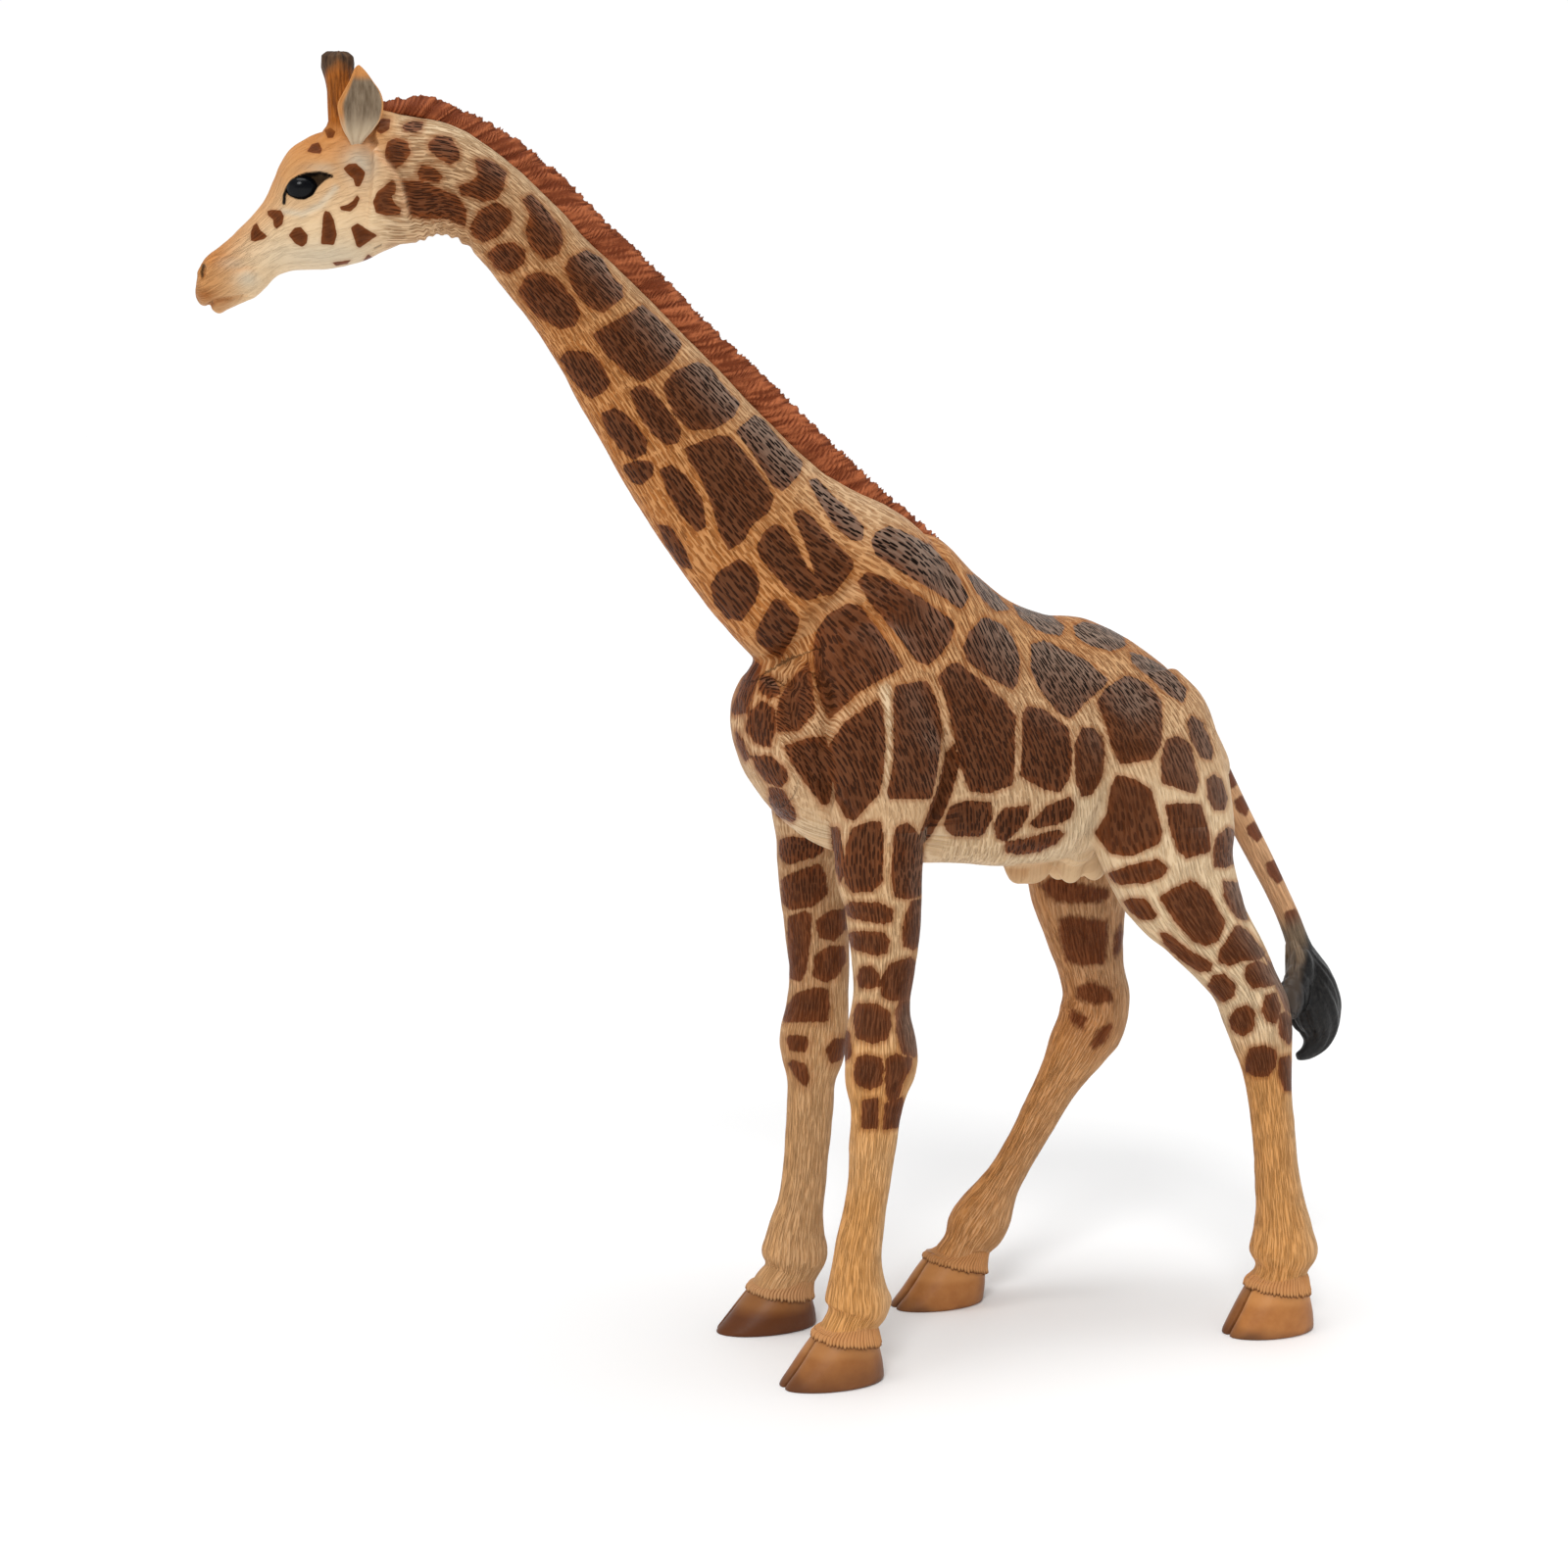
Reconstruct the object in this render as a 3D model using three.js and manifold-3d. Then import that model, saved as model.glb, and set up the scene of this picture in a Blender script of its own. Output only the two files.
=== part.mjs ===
// Standing giraffe figure, one soft-plastic toy built from glued mouldings.
// Millimetres. +Z up, z = 0 is the ground under the four hoof soles.
// The figure looks along -X with its head turned a little to its right (+Y);
// its own left side faces -Y. The origin is the middle of the box's floor.
import * as THREE from "three";
import { mergeVertices } from "three/addons/utils/BufferGeometryUtils.js";
import Module from "manifold-3d";

const wasm = await Module();
wasm.setup();

// ---------------------------------------------------------------- dimensions
const HEIGHT = 200.0;        // sole to horn tip
const LENGTH = 184.5;        // muzzle to the back of the tail tuft
const GAP = 0.3;             // clearance at every glued seam
const ORIGIN = [7.96, -1.52, 0.0];  // middle of the box's floor in the tables' frame
const FORE_SEAM_Z = 86.0;    // forelegs leave the chest at the elbow
const HIND_SEAM_Z = 84.0;    // hind legs leave the belly at the stifle
const NECK_SEAM = { at: [11.4, 0.2, 121.7], dir: [0.586, 0, -0.81] };  // fold at the neck's base
const HEAD_AXIS = { at: [-47.5, 2.8], dir: [-0.965, 0.261] };          // poll, and the way the nose points
const HEAD_SEAM_U = 10.2;    // seam behind the jaw, measured along the head's axis
const LEG_PEG = { r: 2.6, len: 6.0 };
const NECK_PEG = { r: 6.0, len: 9.0 };
const HEAD_PEG = { r: 3.6, len: 6.0 };
const SIDES_LEG = 12;
const SIDES_BODY = 22;

// Trunk: x, height of the back, height of the belly, half width.
const TRUNK = [
  [-4.8, 105.8, 99.4, 3.0], [-3.5, 108.6, 96.0, 6.2], [-1.0, 112.2, 91.2, 9.4], [3.0, 116.2, 86.4, 12.0],
  [8.0, 120.5, 82.6, 14.0], [14.0, 125.5, 80.0, 15.2], [21.0, 130.2, 78.8, 15.8], [27.5, 130.2, 78.4, 16.0],
  [34.0, 124.7, 77.8, 16.2], [41.0, 119.8, 76.9, 16.2], [48.0, 117.2, 77.0, 16.0], [55.0, 116.4, 78.3, 15.4],
  [61.0, 114.2, 80.2, 14.6], [67.0, 110.4, 82.4, 13.6], [72.5, 105.4, 84.6, 12.0], [77.0, 99.9, 86.6, 9.6],
  [80.2, 95.0, 88.4, 6.4], [81.8, 92.4, 89.8, 2.6],
];
// Limbs: x, y, z of the section's middle, half size fore and aft, half size sideways.
const FORE_LEFT = [
  [13.0, -7.0, 119.5, 6.0, 4.5], [13.2, -8.2, 114.0, 9.2, 6.2], [14.0, -9.0, 107.0, 10.8, 7.0], [14.6, -9.8, 100.0, 11.2, 7.2],
  [14.3, -10.6, 93.0, 9.8, 7.0], [13.9, -11.5, 87.5, 8.0, 6.55], [13.4, -12.0, 83.8, 7.25, 6.16], [13.3, -12.3, 79.3, 6.85, 5.96],
  [13.8, -12.6, 74.8, 6.13, 5.52], [14.0, -12.8, 70.2, 5.58, 5.13], [13.8, -13.0, 65.2, 4.88, 4.54], [13.5, -13.1, 61.1, 4.49, 4.26],
  [13.15, -13.2, 57.8, 4.62, 4.52], [13.1, -13.3, 53.5, 5.38, 5.27], [13.2, -13.3, 49.7, 5.63, 5.41], [12.7, -13.3, 47.1, 5.19, 4.93],
  [12.5, -13.3, 42.8, 4.05, 3.85], [11.9, -13.2, 37.0, 3.6, 3.42], [11.1, -13.1, 30.0, 3.3, 3.15], [10.3, -13.1, 25.0, 3.4, 3.2],
  [9.5, -13.0, 19.5, 3.75, 3.6], [9.35, -13.0, 14.5, 4.5, 4.3], [9.3, -13.0, 11.0, 5.05, 4.65], [8.2, -13.0, 8.6, 4.5, 4.35],
  [7.5, -13.0, 6.0, 4.74, 4.64],
];
const FORE_RIGHT = [
  [13.0, 7.0, 119.5, 6.0, 4.5], [13.2, 8.0, 114.0, 9.2, 6.2], [13.8, 8.8, 107.0, 10.8, 7.0], [13.8, 9.6, 100.0, 10.8, 7.2],
  [13.6, 10.4, 92.0, 9.2, 6.9], [13.7, 11.2, 85.5, 7.4, 6.3], [14.0, 12.0, 82.2, 6.63, 5.8], [14.1, 13.0, 77.2, 5.97, 5.3],
  [14.7, 14.0, 70.6, 5.49, 4.94], [15.3, 14.6, 65.7, 5.25, 4.83], [15.9, 15.2, 60.2, 4.93, 4.59], [16.0, 15.4, 56.7, 4.92, 4.68],
  [15.8, 15.6, 52.1, 5.24, 5.08], [15.2, 15.8, 47.6, 5.55, 5.44], [15.1, 15.9, 43.5, 4.85, 4.66], [14.9, 15.9, 40.7, 4.05, 3.85],
  [14.7, 16.0, 36.1, 3.82, 3.62], [14.2, 16.0, 29.2, 3.66, 3.47], [13.7, 16.0, 24.6, 3.66, 3.48], [13.0, 16.0, 20.1, 3.83, 3.63],
  [12.2, 16.0, 15.5, 4.72, 4.49], [11.9, 16.0, 11.6, 5.3, 4.95], [11.2, 16.0, 8.6, 4.95, 4.75], [10.0, 16.0, 6.8, 4.95, 4.8],
  [9.3, 16.0, 5.0, 5.2, 4.9],
];
const HIND_LEFT = [
  [62.4, -6.5, 107.0, 6.2, 5.0], [63.2, -8.2, 101.0, 10.4, 7.2], [63.5, -9.6, 94.5, 11.9, 7.6], [63.8, -11.0, 88.2, 12.5, 7.6],
  [64.5, -12.0, 82.0, 12.4, 7.2], [66.0, -12.8, 75.8, 10.7, 6.7], [68.5, -13.6, 70.9, 9.1, 6.0], [71.0, -14.4, 67.0, 7.5, 5.4],
  [74.4, -15.2, 62.4, 6.4, 5.1], [77.4, -16.0, 57.5, 5.65, 4.79], [79.3, -16.8, 52.6, 5.63, 4.79], [80.1, -17.4, 48.6, 5.08, 4.47],
  [80.9, -17.8, 44.0, 4.17, 3.84], [81.4, -18.1, 39.3, 3.65, 3.47], [82.2, -18.5, 32.4, 3.49, 3.32], [82.8, -18.8, 25.5, 3.66, 3.48],
  [83.35, -19.0, 20.9, 3.99, 3.79], [83.9, -19.1, 16.2, 4.9, 4.6], [84.0, -19.2, 12.8, 5.45, 5.05], [83.6, -19.2, 9.3, 4.87, 4.73],
  [82.9, -19.2, 6.8, 4.8, 4.7],
];
const HIND_RIGHT = [
  [63.0, 6.5, 106.0, 6.6, 5.0], [64.0, 7.6, 99.0, 10.6, 7.0], [64.6, 8.6, 92.0, 11.9, 7.3], [64.0, 9.6, 86.0, 11.9, 7.3],
  [63.9, 11.2, 79.8, 11.0, 7.0], [63.4, 12.5, 74.2, 10.0, 6.9], [63.7, 13.5, 69.5, 8.8, 6.4], [64.9, 14.3, 64.8, 7.6, 5.9],
  [66.2, 15.0, 59.8, 6.5, 5.4], [67.5, 15.5, 54.9, 5.75, 4.95], [68.6, 15.9, 50.5, 5.85, 4.95], [68.1, 16.0, 46.4, 6.1, 5.1],
  [65.5, 16.0, 42.0, 5.3, 4.8], [61.9, 16.0, 36.6, 3.9, 3.7], [57.6, 16.0, 30.1, 3.25, 3.1], [53.4, 16.0, 23.4, 3.1, 2.95],
  [50.2, 16.0, 18.8, 3.45, 3.25], [47.0, 16.0, 13.9, 4.75, 4.4], [44.6, 16.0, 10.4, 4.8, 4.6], [42.9, 16.0, 7.4, 4.7, 4.6],
  [41.9, 16.0, 5.0, 4.8, 4.7],
];
// Hooves: height and half width of the coronet, its front and back, then the sole's front and back.
const HOOVES = {
  foreleg_left: { y: -13.0, top: 6.8, halfTop: 4.8, halfSole: 5.2, front: [2.6, -3.8], back: [12.4, 13.6] },
  foreleg_right: { y: 16.1, top: 5.8, halfTop: 4.9, halfSole: 5.2, front: [4.4, -2.1], back: [14.4, 15.5] },
  hindleg_left: { y: -19.4, top: 7.2, halfTop: 4.8, halfSole: 5.2, front: [78.0, 72.8], back: [87.8, 89.2] },
  hindleg_right: { y: 16.0, top: 6.6, halfTop: 4.8, halfSole: 5.1, front: [37.0, 29.8], back: [46.8, 46.6] },
};
// Neck without its mane, from behind the jaw down into the withers.
const NECK = [
  [-60.5, 3.6, 182.6, 9.6, 6.2], [-57.2, 2.9, 182.3, 9.3, 6.1], [-50.8, 2.7, 182.4, 8.1, 5.6], [-43.9, 2.7, 179.7, 6.75, 5.0],
  [-38.7, 2.6, 175.1, 6.8, 5.1], [-34.1, 2.5, 170.1, 7.1, 5.3], [-29.3, 2.3, 165.2, 7.75, 5.7], [-24.6, 2.1, 159.5, 8.75, 6.3],
  [-19.7, 1.9, 153.2, 9.85, 7.0], [-14.5, 1.6, 146.8, 11.0, 7.8], [-9.7, 1.3, 140.8, 11.95, 8.6], [-4.8, 1.0, 135.0, 12.8, 9.3],
  [0.5, 0.7, 129.5, 13.7, 10.3], [5.8, 0.4, 125.1, 15.0, 11.5], [11.2, 0.2, 121.2, 16.2, 12.8], [17.0, 0.1, 116.5, 16.0, 13.2],
  [22.0, 0.0, 111.0, 14.0, 12.5],
];
const MANE = [
  [-56.6, 2.8, 192.9, 0.7], [-53.0, 2.7, 193.0, 1.1], [-47.8, 2.7, 191.4, 1.3], [-43.3, 2.7, 189.4, 1.5], [-38.6, 2.7, 186.4, 1.7],
  [-31.9, 2.6, 181.1, 1.95], [-26.7, 2.5, 176.1, 1.96], [-21.2, 2.3, 171.4, 1.97], [-15.6, 2.1, 166.3, 1.98], [-9.9, 1.9, 160.8, 2.0],
  [-3.6, 1.6, 155.2, 2.08], [2.0, 1.3, 150.1, 2.25], [7.6, 1.0, 144.7, 2.33], [13.6, 0.7, 139.6, 2.3], [19.4, 0.4, 135.4, 1.7],
  [23.6, 0.2, 132.9, 0.8],
];
const MANE_ROOT = 1.0;       // how far the mane's foot sits in its groove
const MANE_HALF = 1.55;      // half thickness of the mane
// Head: distance along the nose, crown line, jaw line, half width.
const HEAD = [
  [37.75, 167.8, 165.6, 0.9], [37.3, 169.3, 164.7, 2.2], [36.5, 170.8, 163.9, 3.0], [35.0, 172.2, 163.6, 3.4], [33.4, 173.4, 163.8, 3.5],
  [31.6, 175.1, 164.7, 3.45], [29.8, 176.9, 165.4, 3.6], [28.0, 179.2, 166.9, 4.1], [26.5, 182.0, 168.4, 4.7], [25.2, 185.0, 169.0, 5.3],
  [23.6, 186.8, 169.4, 5.9], [21.4, 187.8, 169.6, 6.3], [18.8, 189.0, 169.7, 6.5], [16.2, 190.4, 170.2, 6.4], [13.4, 191.6, 171.0, 6.3],
  [11.0, 192.2, 172.2, 6.2], [7.5, 192.2, 173.8, 6.0],
];
const EYE = { u: 22.3, side: 4.7, z: 180.4, ru: 2.7, rs: 2.0, rz: 2.1 };
const HORN = { u: 16.9, side: 2.75, rows: [[188.2, 2.3], [190.2, 2.0], [192.6, 1.8], [195.0, 1.85], [196.8, 2.2], [198.4, 2.35], [199.5, 1.9], [200.0, 1.0]] };
const EAR = {
  rows: [[14.7, 5.6, 186.6, 1.3, 1.2], [14.6, 6.0, 188.2, 2.1, 1.35], [14.2, 6.5, 190.3, 2.8, 1.4], [13.9, 7.0, 192.6, 3.05, 1.3],
    [13.9, 7.5, 194.8, 2.3, 1.1], [14.0, 7.9, 196.4, 1.3, 0.8], [14.1, 8.1, 197.2, 0.5, 0.4]],
  cup: { u: 14.1, side: 8.3, z: 192.2, ru: 2.1, rs: 1.35, rz: 3.9 },
};
const TAIL = [
  [75.6, 0.0, 98.4, 2.7, 2.5], [78.4, -0.4, 95.0, 2.5, 2.3], [81.1, -0.9, 90.4, 2.3, 2.15], [83.6, -1.9, 85.2, 2.15, 2.05],
  [85.8, -3.4, 80.0, 2.1, 2.0], [87.7, -5.0, 75.4, 2.0, 1.9], [89.5, -6.5, 70.9, 1.85, 1.8], [91.2, -7.8, 66.4, 1.85, 1.8],
  [92.6, -8.9, 61.8, 2.0, 1.95], [93.7, -9.6, 58.0, 2.7, 2.5], [94.9, -10.1, 54.0, 4.0, 3.5], [95.5, -10.4, 49.9, 4.4, 3.9],
  [94.7, -10.8, 46.4, 3.7, 3.3], [92.6, -11.2, 44.1, 2.2, 2.1], [90.6, -11.4, 43.4, 0.9, 0.9],
];
const UNDERSIDE = [[[46.5, 0.0, 76.6], [4.6, 2.6, 3.2]], [[55.5, -1.5, 78.2], [3.4, 2.6, 3.4]], [[55.5, 1.5, 78.2], [3.4, 2.6, 3.4]]];
const TUFT_LUG = { at: [88.6, -13.2, 53.6], r: [4.2, 3.6, 3.6] };  // the tuft is stuck to the left hock

// ---------------------------------------------------------------- helpers
const V = (x, y, z) => new THREE.Vector3(x, y, z);

function solid(geometry) {
  const g0 = geometry.clone();
  for (const name of Object.keys(g0.attributes)) if (name !== "position") g0.deleteAttribute(name);
  const g = mergeVertices(g0, 1e-5);
  return new wasm.Manifold(new wasm.Mesh({
    numProp: 3,
    vertProperties: new Float32Array(g.attributes.position.array),
    triVerts: new Uint32Array(g.index.array),
  }));
}

// Cross-section with half sizes a (along N) and b (along S); skew makes the N side narrower.
function sectionPoint(P, S, N, a, b, phi, power, skew) {
  const c = Math.cos(phi), s = Math.sin(phi);
  const cc = Math.sign(c) * Math.abs(c) ** (2 / power);
  const ss = Math.sign(s) * Math.abs(s) ** (2 / power);
  return P.clone().addScaledVector(S, b * cc * (1 - skew * ss)).addScaledVector(N, a * ss);
}

// A closed skin through a row of sections, shaped from a capped cylinder.
function loft(sections, sides, { power = 2, skew = 0, grow = 0 } = {}) {
  const n = sections.length;
  const geometry = new THREE.CylinderGeometry(1, 1, n - 1, sides, n - 1, false);
  const pos = geometry.attributes.position;
  for (let i = 0; i < pos.count; i++) {
    const k = Math.round((n - 1) / 2 - pos.getY(i));
    const x = pos.getX(i), z = pos.getZ(i);
    const { P, S, N, a, b, T } = sections[k];
    let q;
    if (Math.hypot(x, z) < 1e-6) q = P.clone();
    else q = sectionPoint(P, S, N, a + grow, b + grow, Math.atan2(z, x), power, skew);
    if (grow && k === 0) q.addScaledVector(T, -grow);
    if (grow && k === n - 1) q.addScaledVector(T, grow);
    pos.setXYZ(i, q.x, q.y, q.z);
  }
  let m = solid(geometry);
  if (m.volume() < 0) {
    const idx = geometry.index.array;
    for (let i = 0; i < idx.length; i += 3) { const t = idx[i]; idx[i] = idx[i + 1]; idx[i + 1] = t; }
    m = solid(geometry);
  }
  return m;
}

// Sections square to a path of [x, y, z, a, b] rows.
function alongPath(rows, side = V(0, 1, 0)) {
  const pts = rows.map((r) => V(r[0], r[1], r[2]));
  return rows.map((r, i) => {
    const T = pts[Math.min(i + 1, pts.length - 1)].clone().sub(pts[Math.max(i - 1, 0)]).normalize();
    const S = side.clone().addScaledVector(T, -side.dot(T)).normalize();
    const N = S.clone().cross(T).normalize();
    return { P: pts[i], S, N, T, a: r[3], b: r[4] };
  });
}

const headDir = V(HEAD_AXIS.dir[0], HEAD_AXIS.dir[1], 0).normalize();
const headSide = V(-headDir.y, headDir.x, 0).multiplyScalar(1);  // toward the figure's left
const headPoint = (u, side, z) => V(HEAD_AXIS.at[0], HEAD_AXIS.at[1], z).addScaledVector(headDir, u).addScaledVector(headSide, side);

function ellipsoid(center, axes, radii, seg = 14, grow = 0) {
  const geometry = new THREE.SphereGeometry(1, seg, Math.round(seg * 0.7));
  const pos = geometry.attributes.position;
  for (let i = 0; i < pos.count; i++) {
    const q = center.clone()
      .addScaledVector(axes[0], pos.getX(i) * (radii[0] + grow))
      .addScaledVector(axes[1], pos.getY(i) * (radii[1] + grow))
      .addScaledVector(axes[2], pos.getZ(i) * (radii[2] + grow));
    pos.setXYZ(i, q.x, q.y, q.z);
  }
  let m = solid(geometry);
  if (m.volume() < 0) {
    const idx = geometry.index.array;
    for (let i = 0; i < idx.length; i += 3) { const t = idx[i]; idx[i] = idx[i + 1]; idx[i + 1] = t; }
    m = solid(geometry);
  }
  return m;
}

function peg(from, dir, r, len, sides = 12) {
  const geometry = new THREE.CylinderGeometry(r, r, len, sides, 1, false);
  const d = dir.clone().normalize();
  geometry.applyQuaternion(new THREE.Quaternion().setFromUnitVectors(V(0, 1, 0), d));
  const c = from.clone().addScaledVector(d, len / 2);
  geometry.translate(c.x, c.y, c.z);
  return solid(geometry);
}

// Half space {p : (p - at) . dir > 0} as a big block.
function beyond(at, dir, size = 320) {
  const geometry = new THREE.BoxGeometry(size, size, size);
  const d = dir.clone().normalize();
  geometry.applyQuaternion(new THREE.Quaternion().setFromUnitVectors(V(0, 0, 1), d));
  const c = at.clone().addScaledVector(d, size / 2);
  geometry.translate(c.x, c.y, c.z);
  return solid(geometry);
}

const up = V(0, 0, 1), down = V(0, 0, -1);

// ---------------------------------------------------------------- lofts
const trunkSections = TRUNK.map(([x, top, bottom, half]) => ({
  P: V(x, 0, (top + bottom) / 2), S: V(0, 1, 0), N: V(0, 0, 1), T: V(1, 0, 0), a: (top - bottom) / 2, b: half,
}));
const trunk = (grow = 0) => loft(trunkSections, SIDES_BODY, { power: 2.15, skew: 0.08, grow });

function hoof({ y, top, halfTop, halfSole, front, back }) {
  const rows = [];
  for (const [t, wide] of [[1.0, 0.0], [0.82, 0.35], [0.5, 0.75], [0.16, 1.0], [0.0, 0.94]]) {
    const k = 1 - t;
    const f = front[0] + (front[1] - front[0]) * Math.min(1, k * 1.02);
    const r = back[0] + (back[1] - back[0]) * k;
    const b = halfTop + (halfSole - halfTop) * wide + 0.25 * Math.sin(Math.PI * t);
    rows.push({ P: V((f + r) / 2, y, top * t), S: V(0, 1, 0), N: V(1, 0, 0), T: down, a: (r - f) / 2 - (t === 0 ? 0.25 : 0), b });
  }
  let m = loft(rows, 16, { power: 2.2 });
  // cleft between the two toes
  const outline = new THREE.Shape([new THREE.Vector2(front[1] - 2, -1.25), new THREE.Vector2(front[1] + 5.2, 0), new THREE.Vector2(front[1] - 2, 1.25)]);
  const wedge = new THREE.ExtrudeGeometry(outline, { depth: top * 0.86 + 1, bevelEnabled: false });
  wedge.translate(0, y, -1);
  return m.subtract(solid(wedge));
}

const legDefs = {
  foreleg_left: [FORE_LEFT, FORE_SEAM_Z, V(13.6, -11.8, FORE_SEAM_Z)],
  foreleg_right: [FORE_RIGHT, FORE_SEAM_Z, V(13.8, 11.6, FORE_SEAM_Z)],
  hindleg_left: [HIND_LEFT, HIND_SEAM_Z, V(64.3, -11.8, HIND_SEAM_Z)],
  hindleg_right: [HIND_RIGHT, HIND_SEAM_Z, V(63.8, 10.4, HIND_SEAM_Z)],
};
const limb = (rows, grow = 0) => loft(alongPath(rows), SIDES_LEG, { power: 2.1, grow });

const neckLoft = (grow = 0) => loft(alongPath(NECK), 18, { power: 2.1, skew: 0.12, grow });
const maneRows = MANE.map(([x, y, z, half]) => [x, y, z, half + MANE_ROOT / 2, MANE_HALF]);
const maneSections = alongPath(maneRows).map((s, i) => {
  const n = s.N.z > 0 ? s.N : s.N.clone().negate();
  const edge = Math.min(1, (maneRows.length - 1 - i) / 2 + 0.45);
  return { ...s, N: n, S: s.S, P: s.P.clone().addScaledVector(n, -MANE_ROOT / 2), b: MANE_HALF * edge };
});
const maneLoft = (grow = 0) => loft(maneSections, 10, { power: 2.6, skew: 0.3, grow });

const headSections = HEAD.map(([u, top, bottom, half]) => ({
  P: headPoint(u, 0, (top + bottom) / 2), S: headSide.clone().negate(), N: up.clone(), T: headDir.clone().negate(), a: (top - bottom) / 2, b: half,
}));
const headLoft = loft(headSections, 20, { power: 2.2, skew: 0.06 });
const tailLoft = (grow = 0) => loft(alongPath(TAIL), 12, { grow });

// ---------------------------------------------------------------- pieces
const pieces = {};
const neckAt = V(...NECK_SEAM.at), neckDir = V(...NECK_SEAM.dir).normalize();
const seamPoint = headPoint(HEAD_SEAM_U, 0, 182);
const seamDir = headDir.clone().add(V(0, 0, 0.13)).normalize();

// legs, each with a peg that goes up into the trunk
const upperLegs = [];
const legSockets = [];
for (const [name, [rows, seam, at]] of Object.entries(legDefs)) {
  const whole = limb(rows);
  let leg = whole.intersect(beyond(V(0, 0, seam), down)).subtract(trunk(GAP)).add(hoof(HOOVES[name]));
  leg = leg.subtract(beyond(V(0, 0, 0), down));
  leg = leg.add(peg(at.clone().add(V(0, 0, -3)), up, LEG_PEG.r, LEG_PEG.len + 3));
  legSockets.push(peg(at.clone().add(V(0, 0, -4)), up, LEG_PEG.r + GAP, LEG_PEG.len + 4 + GAP));
  upperLegs.push(whole.intersect(beyond(V(0, 0, seam + GAP), up)));
  pieces[name] = leg;
}

// tail, glued under the rump and stuck to the left hock
const hock = limb(HIND_LEFT, GAP);
const tail = tailLoft().add(ellipsoid(V(...TUFT_LUG.at), [V(1, 0, 0), V(0, 1, 0), V(0, 0, 1)], TUFT_LUG.r)).subtract(hock);
pieces.tail = tail;

// trunk with the shoulders and haunches grown on, and the sockets cut in
let torso = trunk();
for (const m of upperLegs) torso = torso.add(m);
torso = torso.add(neckLoft().intersect(beyond(neckAt, neckDir)));
torso = torso.intersect(beyond(neckAt.clone().addScaledVector(neckDir, GAP), neckDir));
for (const [at, radii] of UNDERSIDE) torso = torso.add(ellipsoid(V(...at), [V(1, 0, 0), V(0, 1, 0), V(0, 0, 1)], radii, 12));
for (const m of legSockets) torso = torso.subtract(m);
torso = torso.subtract(peg(neckAt.clone().addScaledVector(neckDir, -2), neckDir, NECK_PEG.r + GAP, NECK_PEG.len + 2 + GAP, 16));
torso = torso.subtract(tailLoft(GAP));
pieces.torso = torso;

// neck with its groove for the mane
let neck = neckLoft().subtract(beyond(neckAt, neckDir)).subtract(beyond(seamPoint.clone().addScaledVector(seamDir, -GAP), seamDir));
neck = neck.add(peg(neckAt.clone().addScaledVector(neckDir, -4), neckDir, NECK_PEG.r, NECK_PEG.len + 4, 16));
neck = neck.add(peg(seamPoint.clone().addScaledVector(seamDir, -4), seamDir, HEAD_PEG.r, HEAD_PEG.len + 4, 14));
neck = neck.subtract(maneLoft(GAP));
pieces.neck = neck;
pieces.mane = maneLoft().subtract(beyond(neckAt, neckDir)).subtract(beyond(seamPoint.clone().addScaledVector(seamDir, -GAP), seamDir));

// head with its sockets
let head = headLoft.intersect(beyond(seamPoint, seamDir));
head = head.subtract(peg(seamPoint.clone().addScaledVector(seamDir, -3), seamDir, HEAD_PEG.r + GAP, HEAD_PEG.len + 3 + GAP, 14));
// mouth slit across the muzzle and the two nostrils
const mouth = new THREE.BoxGeometry(5.4, 12, 0.5);
mouth.rotateY(0.42);
mouth.rotateZ(Math.atan2(-headDir.y, -headDir.x));
const mouthAt = headPoint(36.2, 0, 166.2);
mouth.translate(mouthAt.x, mouthAt.y, mouthAt.z);
head = head.subtract(solid(mouth));
for (const [sign, label] of [[1, "left"], [-1, "right"]]) {
  const axes = [headDir.clone(), headSide.clone(), up.clone()];
  const eyeAt = headPoint(EYE.u, sign * EYE.side, EYE.z);
  const eye = (grow) => ellipsoid(eyeAt, axes, [EYE.ru, EYE.rs, EYE.rz], 14, grow);
  pieces["eye_" + label] = eye(0);
  head = head.subtract(eye(GAP));

  const hornRows = HORN.rows.map(([z, r]) => ({ P: headPoint(HORN.u, sign * HORN.side, z), S: headSide.clone(), N: headDir.clone(), T: up.clone(), a: r, b: r * 0.92 }));
  const horn = (grow) => loft(hornRows, 12, { grow });
  pieces["horn_" + label] = horn(0);
  head = head.subtract(horn(GAP));

  const earRows = EAR.rows.map(([u, side, z, a, b]) => ({ P: headPoint(u, sign * side, z), S: headSide.clone(), N: headDir.clone(), T: up.clone(), a, b }));
  const earPegFrom = headPoint(14.6, sign * 6.2, 188.0);
  const earPegDir = headSide.clone().multiplyScalar(-sign).add(V(0, 0, -0.7)).normalize();
  const cup = ellipsoid(headPoint(EAR.cup.u, sign * EAR.cup.side, EAR.cup.z), axes, [EAR.cup.ru, EAR.cup.rs, EAR.cup.rz], 12);
  const ear = loft(earRows, 14).subtract(cup).add(peg(earPegFrom, earPegDir, 0.9, 3.2, 8));
  const earHole = loft(earRows, 14, { grow: GAP }).add(peg(earPegFrom, earPegDir, 0.9 + GAP, 3.2 + GAP, 8));
  pieces["ear_" + label] = ear;
  head = head.subtract(earHole);

  const nostril = ellipsoid(headPoint(36.3, sign * 2.6, 169.2), axes, [0.95, 0.8, 0.45], 8);
  head = head.subtract(nostril);
}
pieces.head = head;

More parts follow.
